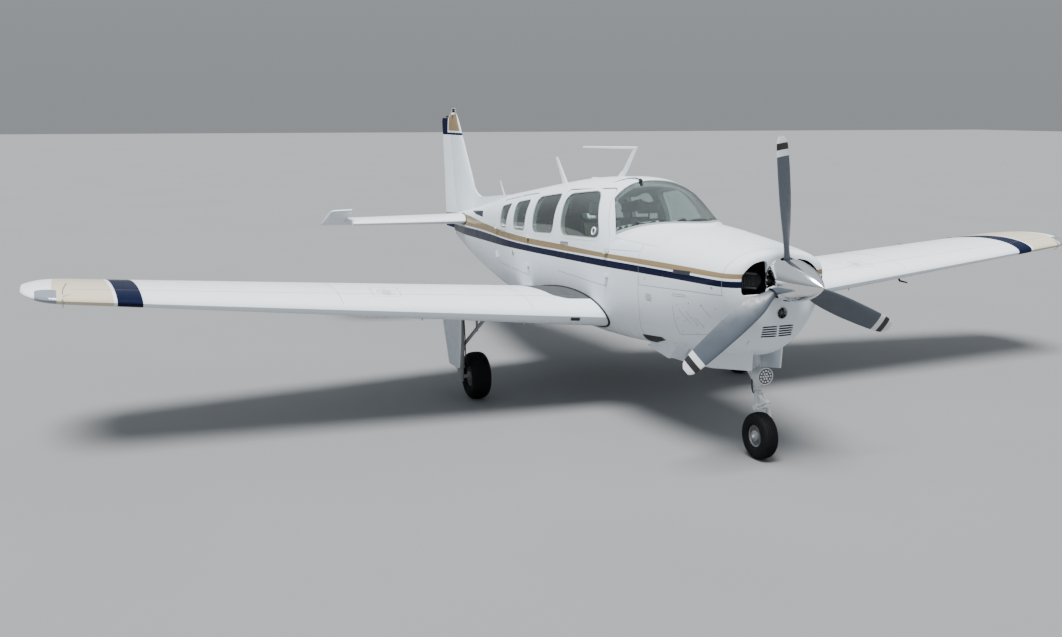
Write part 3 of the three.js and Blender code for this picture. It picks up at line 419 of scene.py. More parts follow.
def metal_look(name, tone, roughness, grain=60.0):
    look = Look(name)
    wear = look.noise(grain, 3)
    color = look.mix(wear, tuple(0.85 * v for v in tone), tone)
    look.bump(wear, 0.08, 0.001)
    return look.finish(color, look.spread(wear, 0.3, 0.7, roughness * 0.8, roughness * 1.25), Metallic=1.0)


def coated_look(name, tone, roughness, grain=40.0, depth=0.0006, spots=0.12, shine=0.4):
    """Moulded, cast or painted parts in one colour with a fine grain and some dirt."""
    look = Look(name)
    grime = look.spread(look.noise(6, 5), 0.45, 0.75, 0.0, spots)
    color = look.mix(grime, tone, tuple(0.45 * v + 0.008 for v in tone))
    look.bump(look.noise(grain, 3), 0.25, depth)
    rough = look.spread(look.noise(14, 3), 0.3, 0.7, roughness * 0.85, roughness * 1.15)
    return look.finish(color, rough, Specular_IOR_Level=shine)


LOOKS = {}


def make_looks():
    LOOKS.update(
        body=gloss_paint("striped_enamel", striped),
        white=gloss_paint("white_enamel", plain_white),
        wing=gloss_paint("wing_enamel", tip_striped),
        fin=gloss_paint("fin_enamel", fin_striped),
        glass=glass_look("tinted_glass", (0.66, 0.8, 0.75), (0.74, 0.86, 0.81), 2.0),
        clear=glass_look("clear_cap", (0.88, 0.9, 0.91), (0.94, 0.95, 0.96), 1.4),
        chrome=metal_look("polished_metal", (0.86, 0.87, 0.88), 0.12, 8.0),
        steel=metal_look("bare_metal", (0.55, 0.56, 0.58), 0.35),
        gear=coated_look("gear_enamel", (0.66, 0.68, 0.7), 0.32, 30.0, 0.0004, 0.45),
        # Main legs: a darker copy of the gear paint, partly dirt and partly painted shade.
        strut=coated_look("strut_dirt_and_shade", (0.3, 0.31, 0.32), 0.4, 30.0, 0.0004, 0.6),
        rim=coated_look("rim_paint", (0.2, 0.21, 0.22), 0.42, 60.0, 0.0004, 0.6),
        putty=coated_look("window_seal", (0.3, 0.32, 0.32), 0.6),
        fins=coated_look("fin_castings", (0.09, 0.092, 0.095), 0.5),
        alloy=coated_look("gear_paint", (0.6, 0.62, 0.64), 0.38),
        tan=coated_look("trim_tan", (0.3, 0.25, 0.19), 0.6),
        grit=coated_look("non_slip", (0.075, 0.08, 0.085), 0.9, 300.0, 0.0012, 0.3, 0.15),
        slate=coated_look("slate_enamel", (0.035, 0.038, 0.05), 0.4, 8.0, 0.0002, 0.12, 0.12),
        navy=coated_look("navy_enamel", NAVY, 0.3, 8.0, 0.0002, 0.12, 0.12),
        seam=coated_look("seam_shadow", (0.2, 0.21, 0.22), 0.6),
        rubber=coated_look("tyre_rubber", (0.006, 0.006, 0.007), 0.75, 90.0, 0.001, 0.3, 0.14),
        seal=coated_look("black_seal", (0.012, 0.012, 0.013), 0.6),
        blade=blade_look(),
        cover=coated_look("lamp_cover", (0.2, 0.23, 0.27), 0.08, 10.0, 0.0001, 0.1, 0.6),
        lens=lens_look(),
        black=coated_look("engine_black", (0.02, 0.02, 0.022), 0.55),
        plastic=coated_look("dark_plastic", (0.025, 0.026, 0.028), 0.5),
        leather=coated_look("seat_leather", (0.27, 0.24, 0.21), 0.55, 120.0, 0.0015),
        liner=coated_look("cabin_liner", (0.6, 0.59, 0.57), 0.8),
    )


# Solids.

def angles(count):
    return [2 * pi * k / count for k in range(count)]


def solid(points, faces):
    data = bpy.data.meshes.new("part")
    data.from_pydata([tuple(p) for p in points], [], faces)
    return place_new("part", data)


def loft(rings, closed=False):
    """A body through rings of points with the same count: with end faces, or closed on itself."""
    count, n = len(rings), len(rings[0])
    faces = [(i * n + j, i * n + (j + 1) % n, (i + 1) % count * n + (j + 1) % n, (i + 1) % count * n + j)
             for i in range(count if closed else count - 1) for j in range(n)]
    if not closed:
        faces += [tuple(reversed(range(n))), tuple(range((count - 1) * n, count * n))]
    shape = solid([p for ring in rings for p in ring], faces)
    bpy.context.view_layer.update()
    return outward(shape)


def outward(shape):
    """Turns every face out, by the sign of the enclosed volume."""
    data = shape.data
    data.calc_loop_triangles()
    volume = sum(data.vertices[a].co.dot(data.vertices[b].co.cross(data.vertices[c].co))
                 for a, b, c in (t.vertices for t in data.loop_triangles))
    if volume < 0:
        data.flip_normals()
    return shape


def bake(shape):
    """Turns a solid's modifiers into its mesh."""
    graph = bpy.context.evaluated_depsgraph_get()
    data = bpy.data.meshes.new_from_object(shape.evaluated_get(graph))
    shape.modifiers.clear()
    shape.data = data
    return shape


def boolean(shape, tool, how):
    change = shape.modifiers.new("change", "BOOLEAN")
    change.operation = how
    change.object = tool
    change.solver = "MANIFOLD"
    bake(shape)
    bpy.data.objects.remove(tool)
    return shape


def cut(shape, tool):
    return boolean(shape, tool, "DIFFERENCE")


def common(shape, tool):
    return boolean(shape, tool, "INTERSECT")


def join(shape, tool):
    return boolean(shape, tool, "UNION")


def union(parts):
    whole = parts[0]
    for part in parts[1:]:
        whole = join(whole, part)
    return whole


def copy(shape):
    twin = shape.copy()
    twin.data = shape.data.copy()
    bpy.context.scene.collection.objects.link(twin)
    return twin


def mirrored(shape):
    """Moves a solid to the other side of the aircraft."""
    shape.data.transform(Matrix.Scale(-1, 4, (0, 1, 0)))
    shape.data.flip_normals()
    return shape


def mirror(shape):
    return mirrored(copy(shape))


def gather(parts):
    """One mesh of several solids that stay apart."""
    points, faces = [], []
    for part in parts:
        start = len(points)
        points += [v.co.copy() for v in part.data.vertices]
        faces += [tuple(start + i for i in face.vertices) for face in part.data.polygons]
        bpy.data.objects.remove(part)
    return solid(points, faces)


def block(low, high):
    (x0, y0, z0), (x1, y1, z1) = low, high
    return loft([[(x, y0, z0), (x, y1, z0), (x, y1, z1), (x, y0, z1)] for x in (x0, x1)])


def across(x0, x1, z0, z1, half=0.9):
    """A block over both sides of the middle."""
    return block((x0, -half, z0), (x1, half, z1))


def circle(centre, radius, axis, count=40):
    """Points round a circle that faces along an axis."""
    turn = Vector(axis).to_track_quat("Z", "Y")
    return [Vector(centre) + turn @ Vector((radius * cos(a), radius * sin(a), 0))
            for a in angles(count)]


def rod(start, end, r0, r1=None, sides=24):
    axis = Vector(end) - Vector(start)
    return loft([circle(start, r0, axis, sides), circle(end, r0 if r1 is None else r1, axis, sides)])


def round_rods(rows, sides=28):
    """Rods as (start, end, radius) or (start, end, radius, end radius), fused."""
    return union([rod(*row, sides=sides) for row in rows])


def hoop(centre, radius, axis, thick, count=40, sides=10):
    """A round wire bent to a ring."""
    return tube(circle(centre, radius, axis, count), thick, sides, True)


def turned(profile, x, y, z, sides=96):
    """A ring turned about a wheel's axle, from a closed loop of (radius, offset) points."""
    return loft([[(x + r * sin(a), y + w, z + r * cos(a)) for r, w in profile]
                 for a in angles(sides)], True)


def turned_along(start, end, profile, sides=24):
    """A round body from start to end, by (part of the way, radius)."""
    start, end = Vector(start), Vector(end)
    first = (end - start).orthogonal().normalized()
    second = (end - start).normalized().cross(first)
    return loft([[start.lerp(end, t) + r * (cos(a) * first + sin(a) * second)
                  for a in angles(sides)] for t, r in profile])


def along_path(path, closed):
    """Each point of a path with the direction there."""
    path = [Vector(p) for p in path]
    n = len(path)
    for i, p in enumerate(path):
        ahead = path[(i + 1) % n] if closed or i + 1 < n else p
        back = path[i - 1] if closed or i > 0 else p
        yield p, (ahead - back).normalized()


STRIP_SECTION = ((-1, -1), (1, -1), (1, 0.6), (0.6, 1), (-0.6, 1), (-1, 0.6))


def sweep(path, width, height, up=(0, 0, 1), closed=False):
    """A flat strip along a path; up is the way its broad side faces, or a function of the point."""
    rings = []
    for p, along in along_path(path, closed):
        normal = Vector(up(p) if callable(up) else up).normalized()
        side = along.cross(normal).normalized()
        rings.append([p + side * a * width / 2 + normal * b * height for a, b in STRIP_SECTION])
    return loft(rings, closed)


def tube(path, radius, sides=12, closed=False):
    """A round wire along a path; radius is one number, or a list with one for each point."""
    rings, normal = [], None
    for i, (p, along) in enumerate(along_path(path, closed)):
        if normal is None:
            normal = along.orthogonal().normalized()
        normal = (normal - along * normal.dot(along)).normalized()
        side = along.cross(normal)
        r = radius[i] if isinstance(radius, list) else radius
        rings.append([p + (normal * cos(a) + side * sin(a)) * r for a in angles(sides)])
    return loft(rings, closed)


def rounded(points, radius, inset=0.0, steps=6):
    """A flat outline with arcs at its corners, moved inward."""
    corners = [Vector(p) for p in points]
    n = len(corners)
    following = corners[1:] + corners[:1]
    if sum(a.x * b.y - b.x * a.y for a, b in zip(corners, following)) < 0:
        corners.reverse()
    inner = []
    for i, p in enumerate(corners):
        before = (p - corners[i - 1]).normalized()
        after = (corners[(i + 1) % n] - p).normalized()
        turn = (before + after).normalized()
        normal = Vector((-turn.y, turn.x))
        inner.append(p + normal * (inset / normal.dot(Vector((-after.y, after.x)))))
    reach = max(radius - inset, 0.001)
    out = []
    for i, p in enumerate(inner):
        back = p + (inner[i - 1] - p).normalized() * reach
        ahead = p + (inner[(i + 1) % n] - p).normalized() * reach
        for t in (k / steps for k in range(steps + 1)):
            out.append((1 - t) ** 2 * back + 2 * t * (1 - t) * p + t ** 2 * ahead)
    return out


def prism(axis, outline, low, high):
    """An outline pushed along an axis. Across Y it is (x, z), across Z (x, y), across X (y, z)."""
    place = {"y": lambda p, d: (p[0], d, p[1]), "z": lambda p, d: (p[0], p[1], d),
             "x": lambda p, d: (d, p[0], p[1])}[axis]
    return loft([[place(p, d) for p in outline] for d in (low, high)])


def between(table, x):
    """Smooth values between a table's rows."""
    last = len(table) - 1
    i = 0
    while i < last - 1 and x > table[i + 1][0]:
        i += 1
    p, q = table[i], table[i + 1]
    h = q[0] - p[0]
    t = (x - p[0]) / h

    def slope(k, c):
        a, b = table[max(k - 1, 0)], table[min(k + 1, last)]
        return (b[c] - a[c]) / (b[0] - a[0])

    return [(2 * t ** 3 - 3 * t ** 2 + 1) * p[c] + (t ** 3 - 2 * t ** 2 + t) * h * slope(i, c)
            + (3 * t ** 2 - 2 * t ** 3) * q[c] + (t ** 3 - t ** 2) * h * slope(i + 1, c)
            for c in range(1, len(p))]


def fine(points, step=0.03, closed=False):
    """A polyline with short steps."""
    corners = [Vector(p) for p in points]
    following = corners[1:] + corners[:1] if closed else corners[1:]
    out = []
    for a, b in zip(corners, following):
        count = max(1, ceil((b - a).length / step))
        out += [a.lerp(b, k / count) for k in range(count)]
    return out if closed else out + [corners[-1]]


# Pieces.

def dress(obj, name, slot, look, *nodes, body="airframe", smooth=35.0):
    """Names a finished piece, gives it its look and hangs it on a CAD body."""
    obj.name = name
    obj.data.name = name
    obj.data.materials.clear()
    obj.data.materials.append(LOOKS[look])
    obj.data.polygons.foreach_set("use_smooth", [True] * len(obj.data.polygons))
    obj.data.set_sharp_from_angle(angle=radians(smooth))
    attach(obj, body)
    if nodes:
        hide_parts(*nodes)
    return obj


def dress_pair(shape, name, slot, look, node="", body=""):
    """Dresses a starboard piece and its mirror image."""
    for side, obj in (("left", mirror(shape)), ("right", shape)):
        nodes = [f"{node}_{side}"] if node else []
        dress(obj, f"{name}_{side}", slot, look, *nodes, body=f"{body}_{side}" if body else "airframe")


INWARD = -0.55


def dress_shell(obj, name, node, lining="liner", body="airframe", middle=1.3):
    """A painted shell whose faces towards the body's middle line get a lining."""
    dress(obj, name, "white_paint", "body", node, body=body)
    obj.data.materials.append(LOOKS[lining])
    for face in obj.data.polygons:
        out = Vector((0, face.center.y, face.center.z - middle)).normalized()
        if face.normal.dot(out) < INWARD:
            face.material_index = 1


# Fuselage.

RING_SIDES = 96
STATION_STEP = 0.06
# The nose's front edge is rounded over: how far past its last station, and at what part of its size.
NOSE_EDGE = [(0.006, 0.955), (0.01, 0.89), (0.012, 0.8)]


def lobe(value, roundness):
    return copysign(abs(value) ** (2 / roundness), value)


def section_ring(x, values, grow, size=1.0):
    top, bottom, half, wide, round_top, round_bottom = values
    ring = []
    for angle in angles(RING_SIDES):
        c, s = cos(angle), sin(angle)
        roundness = round_top if s >= 0 else round_bottom
        reach = (top - wide if s >= 0 else wide - bottom) + grow
        ring.append((x, size * (half + grow) * lobe(c, roundness), wide + size * reach * lobe(s, roundness)))
    return ring


def body_part(table, grow, lead=0.0):
    x0, x1 = table[0][0], table[-1][0]
    steps = max(2, round((x1 - x0) / STATION_STEP))
    stations = sorted({x0 + (x1 - x0) * k / steps for k in range(steps + 1)} | {row[0] for row in table})
    rings = [section_ring(x, between(table, x), grow) for x in stations]
    if lead:
        rings.insert(0, section_ring(x0 - lead, between(table, x0), grow))
    return rings


def hull(grow):
    nose = body_part(NOSE, grow, 0.001)
    nose += [section_ring(CAP_X + ahead, between(NOSE, CAP_X), grow, size) for ahead, size in NOSE_EDGE]
    return join(loft(body_part(BODY, grow)), loft(nose))


def fuselage(grow):
    return join(hull(grow), loft(body_part(SCREEN, grow, 0.001)))


def layer(outer, inner):
    """The fuselage's skin between two offsets from its surface."""
    return cut(fuselage(outer), fuselage(inner))


def on_skin(x, z, side, grow=0.0):
    """The point of the fuselage's side at a station and height; side is -1 to starboard, 1 to port."""
    tables = [BODY] if x <= 1.9 else [t for t in (NOSE, SCREEN) if x <= t[-1][0]]
    best = 0.0
    for table in tables:
        top, bottom, half, wide, round_top, round_bottom = between(table, x)
        part = (z - wide) / ((top if z > wide else wide) - (wide if z > wide else bottom) + grow)
        if abs(part) < 1:
            roundness = round_top if z > wide else round_bottom
            best = max(best, (half + grow) * (1 - abs(part) ** roundness) ** (1 / roundness))
    return Vector((x, side * best, z))


def skin_normal(x, z, side, e=0.006):
    along = on_skin(x + e, z, side) - on_skin(x - e, z, side)
    rise = on_skin(x, z + e, side) - on_skin(x, z - e, side)
    normal = along.cross(rise).normalized()
    return normal if normal.y * side > 0 else -normal


def skin_strip(points, side, width, height, closed=False, step=0.03):
    """A flat strip along (x, z) points of the fuselage's side."""
    path = [on_skin(p.x, p.y, side) for p in fine(points, step, closed)]
    return sweep(path, width, height, lambda p: skin_normal(p.x, p.z, side), closed)


def skin_dot(x, z, side, radius, height, sides=12):
    centre, normal = on_skin(x, z, side), skin_normal(x, z, side)
    return rod(centre - normal * 0.002, centre + normal * height, radius, radius * 0.85, sides)


def skin_patch(outline, side, grow):
    """A thin plate on the fuselage's side with the given outline."""
    low, high = sorted((side * 0.15, side * 0.8))
    return common(prism("y", outline, low, high), layer(grow, -0.004))


def side_prism(points, radius, inset, side=-1):
    low, high = sorted((side * 0.2, side * 0.8))
    return prism("y", rounded(points, radius, inset), low, high)


def window_prism(i, inset, side=-1):
    return side_prism(WINDOWS[i], WINDOW_ROUND[i], inset, side)


def screen_cutter(inset):
    half = [(x + inset, y) for x, y in SCREEN_BACK]
    plan = [(2.72, -0.64), (2.72, 0.64)] + half[::-1] + [(x, -y) for x, y in half[1:]]
    cutter = prism("z", plan, SCREEN_LOW + inset, 2.2)
    return cut(cutter, loft(body_part(NOSE, 0.024 + inset, 0.001)))


def slab(x0, x1):
    """Everything between two stations."""
    return across(x0, x1, 0.3, 2.4)


def gear_bay():
    return across(*GEAR_BAY)


# Cabin and doors.

# Bounds well outside the cabin, for the blocks that part its skin, and the play between pieces.
AFT, FORE, WIDE, UNDER, OVER = -2, 3, 0.9, 0.3, 2.3
PLAY = 0.0003
FLOOR_THICK = 0.022
FLOOR_END = 0.06
# Blade antennas: foot and tip, each as (x, z, chord).
ROOF_BLADE = [(-0.04, 1.8, 0.15), (-0.36, 2.112, 0.062)]
TAIL_BLADE = [(-1.84, 1.53, 0.075), (-2.06, 1.772, 0.034)]
# Cowl flaps, open: a plate under the belly with a cheek on its outer side. Outlines are (x, z).
FLAP_CHEEK = [(2.24, 0.645), (2.6, 0.609), (2.755, 0.76), (2.755, 0.8), (2.44, 0.8)]
FLAP_PLATE = [(2.24, 0.645), (2.6, 0.609), (2.755, 0.76), (2.755, 0.775), (2.595, 0.621), (2.24, 0.656)]
FLAP_SPAN = {"outer": -0.29, "cheek": -0.279, "inner": -0.15}
# Doors: name, outline, window, hinge point, lean of the hinge line, side of the fixed half, and heights.
DOORS = [
    ("front_door", FRONT_DOOR, 0, (2.024, -0.6, 1.18), (-0.077, 0, 1), 1, (1.18, 1.4)),
    ("cargo_door_front", CARGO_FRONT, 2, (0.2525, -0.592, 1.04), (0, 0, 1), 1, (1.04, 1.32)),
    ("cargo_door_rear", CARGO_REAR, 3, (-0.794, -0.522, 1.04), (-0.111, 0, 1), -1, (1.04, 1.3)),
]
TOP_DROP = 0.006
KNUCKLE = {"radius": 0.008, "long": 0.034, "strap": 0.028, "foot": 0.014, "deep": 0.04, "gap": 0.0004}
# Windows: name, body, number in WINDOWS, and side.
PANES = [("front_door_window", "front_door", 0, -1), ("window_right", "airframe", 1, -1),
         ("cargo_window_front", "cargo_door_front", 2, -1), ("cargo_window_rear", "cargo_door_rear", 3, -1)]
PANES += [(f"window_left_{i + 1}", "airframe", i, 1) for i in range(4)]
# Layers of the skin by their outer and inner offset.
PANE_LAYER = (-0.004, -0.012)
FRAME_LAYER = (0.002, -0.002)
SEAL_LAYER = (0.001, -0.006)
# The layer for the strips that fill the door gaps in seam grey, a painted shadow in the gaps.
GAP_SHADE_LAYER = (-0.003, -0.012)
FRAME_WIDE = 0.024


def cowl_flap():
    cheek = prism("y", FLAP_CHEEK, FLAP_SPAN["outer"], FLAP_SPAN["cheek"])
    plate = prism("y", FLAP_PLATE, FLAP_SPAN["outer"], FLAP_SPAN["inner"])
    return cut(join(cheek, plate), hull(-CABIN_WALL / 2))


def blade_antenna(foot, tip):
    """A thin foil that leans back."""
    return loft([[(x - u * chord, v * chord, z) for u, v in foil(0.14, 0, 0.02, 12)]
                 for x, z, chord in (foot, tip)])


def knuckle(low, high, side):
    """A barrel on a hinge line, with a strap that turns into the skin on one side."""
    far = low.x + side * KNUCKLE["strap"]
    foot = far - side * KNUCKLE["foot"]
    plates = []
    for near, deep in ((low.x, 0.005), (foot, KNUCKLE["deep"])):
        x0, x1 = sorted((near, far))
        plates.append(block((x0, low.y - 0.003, low.z + 0.003), (x1, low.y + deep, high.z - 0.003)))
    return union([rod(low, high, KNUCKLE["radius"], sides=20), *plates])


def lowered(corners):
    """A door's outline with its top edge a little lower."""
    return [(x, z - TOP_DROP if z > DECK_SEAM_Z else z) for x, z in corners]


def band_round(skin, outside, inside):
    """The part of a layer of the skin that lies inside one tool and outside another."""
    return cut(common(copy(skin), outside), inside)


def make_belly_and_roof(shell):
    belly = cut(common(copy(shell), across(AFT, FORE, UNDER, FLOOR_TOP)), gear_bay())
    floor = common(hull(-CABIN_WALL / 2),
                   across(BULKHEAD_X, FIREWALL_X - FLOOR_END, FLOOR_TOP - FLOOR_THICK, FLOOR_TOP))
    flap = cowl_flap()
    dress_shell(union([belly, floor, mirror(flap), flap]), "belly_skin", "cabin_belly")
    roof = common(copy(shell), across(AFT, 2.1, 1.5, OVER, ROOF_HALF))
    roof = join(roof, cut(blade_antenna(*ROOF_BLADE), hull(-CABIN_WALL / 2)))
    dress_shell(roof, "roof_skin", "cabin_roof")
    deck = common(copy(shell), across(DECK_SEAM_X, FORE, DECK_SEAM_Z, OVER))
    dress_shell(deck, "deck_skin", "forward_deck", "black")


def make_sides(shell, open_shell):
    floor = FLOOR_TOP + PLAY
    span = join(block((AFT, -WIDE, floor), (DECK_SEAM_X - PLAY, -ROOF_HALF - PLAY, OVER)),
                block((AFT, -WIDE, floor), (FORE, 0, DECK_SEAM_Z - PLAY)))
    left = common(copy(open_shell), mirror(span))
    right = common(open_shell, span)
    for _, corners, *_ in DOORS:
        right = cut(right, side_prism(corners, DOOR_ROUND, 0.0))
    right = cut(right, window_prism(1, 0.0))
    for i in range(len(WINDOWS)):
        left = cut(left, window_prism(i, 0.0, 1))
    for name, corners, window, hinge, lean, arm, heights in DOORS:
        panel = common(copy(shell), side_prism(lowered(corners), DOOR_ROUND, DOOR_GAP))
        panel = cut(panel, window_prism(window, 0.0))
        for z in heights:
            at = [Vector(hinge) + Vector(lean) * (z + up - hinge[2])
                  for up in (0, KNUCKLE["long"], KNUCKLE["long"] + KNUCKLE["gap"], 2 * KNUCKLE["long"])]
            panel = join(panel, knuckle(at[0], at[1], -arm))
            right = join(right, knuckle(at[2], at[3], arm))
        dress_shell(panel, f"{name}_skin", name, body=name)
    dress_shell(right, "side_skin_right", "cabin_side_right")
    dress_shell(left, "side_skin_left", "cabin_side_left")


def make_windows():
    layers = [layer(*pair) for pair in (PANE_LAYER, FRAME_LAYER, SEAL_LAYER, GAP_SHADE_LAYER)]
    glass, proud, rubber, recess = layers
    pane = common(copy(glass), screen_cutter(0.0007))
    dress(pane, "windscreen_glass", "clear_glass", "glass", "windscreen")
    for name, body, i, side in PANES:
        pane = common(copy(glass), window_prism(i, 0.0005, side))
        dress(pane, f"{name}_pane", "clear_glass", "glass", name, body=body)
    # Each door's gap is filled by a sunken strip in seam grey: painted shadow of the gap.
    for name, corners, *_ in DOORS:
        door = side_prism(lowered(corners), DOOR_ROUND, DOOR_GAP - 0.0012)
        seal = band_round(recess, side_prism(corners, DOOR_ROUND, 0.0004), door)
        dress(seal, f"{name}_gap_shade", "tyre", "seam")
    for name, body, i, side in PANES:
        outlines = [window_prism(i, inset, side) for inset in (-FRAME_WIDE, -0.003, -0.003, 0.005)]
        dress(band_round(proud, *outlines[:2]), f"{name}_frame", "white_paint", "white", body=body)
        dress(band_round(rubber, *outlines[2:]), f"{name}_seal", "tyre", "putty", body=body)
    outlines = [screen_cutter(inset) for inset in (-FRAME_WIDE * 1.3, -0.004, -0.004, 0.006)]
    dress(band_round(proud, *outlines[:2]), "windscreen_frame", "white_paint", "white")
    dress(band_round(rubber, *outlines[2:]), "windscreen_seal", "tyre", "putty")
    for spare in layers:
        bpy.data.objects.remove(spare)


def make_cabin(outer):
    shell = cut(common(copy(outer), slab(BULKHEAD_X, FIREWALL_X)), fuselage(-CABIN_WALL))
    open_shell = cut(copy(shell), screen_cutter(0.0))
    make_belly_and_roof(open_shell)
    make_sides(shell, open_shell)
    bpy.data.objects.remove(shell)
    make_windows()


# Wings.

# Flaps and ailerons: name, inner and outer end, and part of the chord behind the hinge.
SURFACES = [("flap", FLAP_ROOT_Y, FLAP_END_Y, FLAP_PART),
            ("aileron", FLAP_END_Y + 0.02, AILERON_END_Y, AILERON_PART)]
# How much thicker a foil is at its trailing edge, on each side, in chords.
FOIL_BLUNT = 0.0015
PIN_PLAY = 0.0008
PIN_RADIUS = 0.007


def half_thick(thick, u):
    """Half of a foil's thickness, by the usual four-digit formula."""
    return 5 * thick * (0.2969 * sqrt(u) - 0.126 * u - 0.3516 * u ** 2 + 0.2843 * u ** 3
                        - 0.1036 * u ** 4)


def foil(thick, camber, blunt, steps=22):
    """From the trailing edge over the top to the nose and back below, for a chord of 1."""
    points = []
    for k in range(steps + 1):
        u = (1 + cos(pi * k / steps)) / 2
        points.append((u, camber * 4 * u * (1 - u), half_thick(thick, u) + blunt * u))
    upper = [(u, mean + half) for u, mean, half in points]
    lower = [(u, mean - half) for u, mean, half in points[-2::-1]]
    return upper + lower


def wing_chord(y):
    return ROOT_CHORD + (TIP_CHORD - ROOT_CHORD) * y / WING_TIP


def wing_thick(y):
    return ROOT_THICK + (TIP_THICK - ROOT_THICK) * y / WING_TIP


def wing_point(y, u, v):
    """Starboard wing: y out from the middle, u and v in chords from the nose and the chord line."""
    chord = wing_chord(y)
    pitch = radians(ROOT_PITCH + (TIP_PITCH - ROOT_PITCH) * y / WING_TIP)
    dx, dz = (0.25 - u) * chord, v * chord
    return Vector((QUARTER_X + dx * cos(pitch) - dz * sin(pitch), -y,
                   ROOT_Z + RISE * y + dx * sin(pitch) + dz * cos(pitch)))


def wing_side(y, u, way):
    """A point on the wing's upper (way 1) or lower (way -1) side."""
    v = CAMBER * 4 * u * (1 - u) + way * half_thick(wing_thick(y), u) + way * FOIL_BLUNT * u
    return wing_point(y, u, v)


def wing_body(y0, y1, steps):
    ys = [y0 + (y1 - y0) * k / steps for k in range(steps + 1)]
    return loft([[wing_point(y, u, v) for u, v in foil(wing_thick(y), CAMBER, FOIL_BLUNT)] for y in ys])


def hinge_point(y, part):
    return wing_point(y, 1 - part, CAMBER * 4 * part * (1 - part))


def hinge_radius(y, part):
    return 0.98 * half_thick(wing_thick(y), 1 - part) * wing_chord(y)


def span_block(y0, y1):
    """A block over the starboard wing between two span stations."""
    return block((-0.9, -y1, 0.3), (2, -y0, 2))


def hinged(y0, y1, part, grow):
    """What lies behind the hinge line between two span stations, with a round nose about that line."""
    a, b = hinge_point(y0, part), hinge_point(y1, part)
    spare = 0.04
    nose = rod(hinge_point(y0 - spare, part), hinge_point(y1 + spare, part),
               hinge_radius(y0 - spare, part) + grow, hinge_radius(y1 + spare, part) + grow, 40)
    plan = [(a.x, a.y), (-0.9, a.y), (-0.9, b.y), (b.x, b.y)]
    return join(common(nose, span_block(y0, y1)), prism("z", plan, 0.3, 2))


def make_wings(outer):
    wing = cut(wing_body(0.3, TIP_SEAM_Y, 40), copy(outer))
    moving = []
    for name, y0, y1, part in SURFACES:
        shape = common(copy(wing), hinged(y0 + END_GAP, y1 - END_GAP, part, 0.0))
        pin = rod(hinge_point(y0 - END_GAP, part), hinge_point(y1 + END_GAP, part), PIN_RADIUS)
        pin = common(pin, span_block(y0 + PIN_PLAY, y1 - PIN_PLAY))
        moving.append((name, join(shape, pin)))
    for _, y0, y1, part in SURFACES:
        wing = cut(wing, hinged(y0, y1, part, COVE))
    for name, shape in moving:
        dress_pair(shape, f"{name}_skin", "white_surface", "wing", name, name)
    dress_pair(wing, "wing_skin", "white_surface", "wing", "wing")
    dress_pair(wing_tip(), "wing_tip_skin", "white_surface", "wing", "wing_tip")


def wing_tip(grow=0.0):
    """The section shrinks towards the outermost line, further back than the nose."""
    rings = []
    start = TIP_SEAM_Y + PLAY
    for k in range(15):
        out = sin(pi / 2 * k / 14)
        size = sqrt(max(1 - (0.94 * out) ** 2.6, 0))
        centre = 0.42 + 0.14 * out ** 2
        y = start + (WING_TIP - start) * out
        thick = TIP_THICK * (0.25 + 0.75 * size) + 2.4 * grow / TIP_CHORD
        rings.append([wing_point(y, centre + (u - centre) * size, v * size)
                      for u, v in foil(thick, CAMBER, FOIL_BLUNT)])
    return loft(rings)


# Tail.

TAIL_HINGE_X = TAILPLANE[0][1] - HINGE_PART * (TAILPLANE[0][1] - TAILPLANE[0][2])
TAIL_ROOT = 0.13
TAIL_END = TAIL_SPAN + 0.01
TAIL_CAP = 0.06
TRUNK = 0.016
TAIL_GAP = 0.005
FILLET = [(1.24, -2.7, -3.4, 0.03), (1.54, -2.75, -3.4, 0.05), (1.57, -2.88, -3.4, 0.06),
          (1.64, -2.99, -3.4, 0.07), (1.76, -3.075, -3.4, 0.08)]
STRAKE = [(-3.1, 1.25), (-1.25, 1.4), (-1.46, 1.652), (-2.7, 1.534), (-3.1, 1.54)]
RUDDER_TOP = (2.486, -3.66, -4.184, 0.056)
RUDDER_FOOT = 1.045
# A station behind the tail, for the outlines of tools.
BEHIND = -4.4
BEACON = {"x": -3.82, "low": 2.53, "high": 2.625, "radius": 0.032, "collar": 0.028}


def tail_row(y):
    t = y / TAILPLANE[1][0]
    return [a + (b - a) * t for a, b in zip(TAILPLANE[0], TAILPLANE[1])]


def tail_ring(row, squash=1.0):
    y, front, back, thick = row
    chord = front - back
    return [(front - u * chord, -y, TAIL_Z + v * chord) for u, v in foil(thick * squash, 0, 0.002)]


def tail_body(grow=0.0):
    rings = []
    for k in range(13):
        y, front, back, thick = tail_row((TAIL_SPAN - TAIL_CAP) * k / 12)
        rings.append(tail_ring((y, front + grow, back - grow, thick + 2.4 * grow / (front - back))))
    y, front, back, thick = tail_row(TAIL_SPAN - TAIL_CAP)
    for k in range(1, 7):
        a = pi / 2 * k / 6
        trim = 1 - cos(a)
        row = (y + TAIL_CAP * sin(a), front - TAIL_CAP * trim, back + 0.04 * trim, thick)
        rings.append(tail_ring(row, 1 - 0.55 * trim))
    return loft(rings)


def tail_axis(y):
    return Vector((TAIL_HINGE_X, -y, TAIL_Z))


def tail_nose(y):
    """The radius of the elevators' round front edge."""
    _, front, back, thick = tail_row(y)
    return 0.33 * thick * (front - back)


def tail_block(y0, y1, front):
    return block((-4.3, -y1, 1), (front, -y0, 1.7))


def turned_about(shape, point, axis, degrees):
    place = Matrix.Translation(point)
    shape.data.transform(place @ Matrix.Rotation(radians(degrees), 4, axis) @ place.inverted())
    return shape


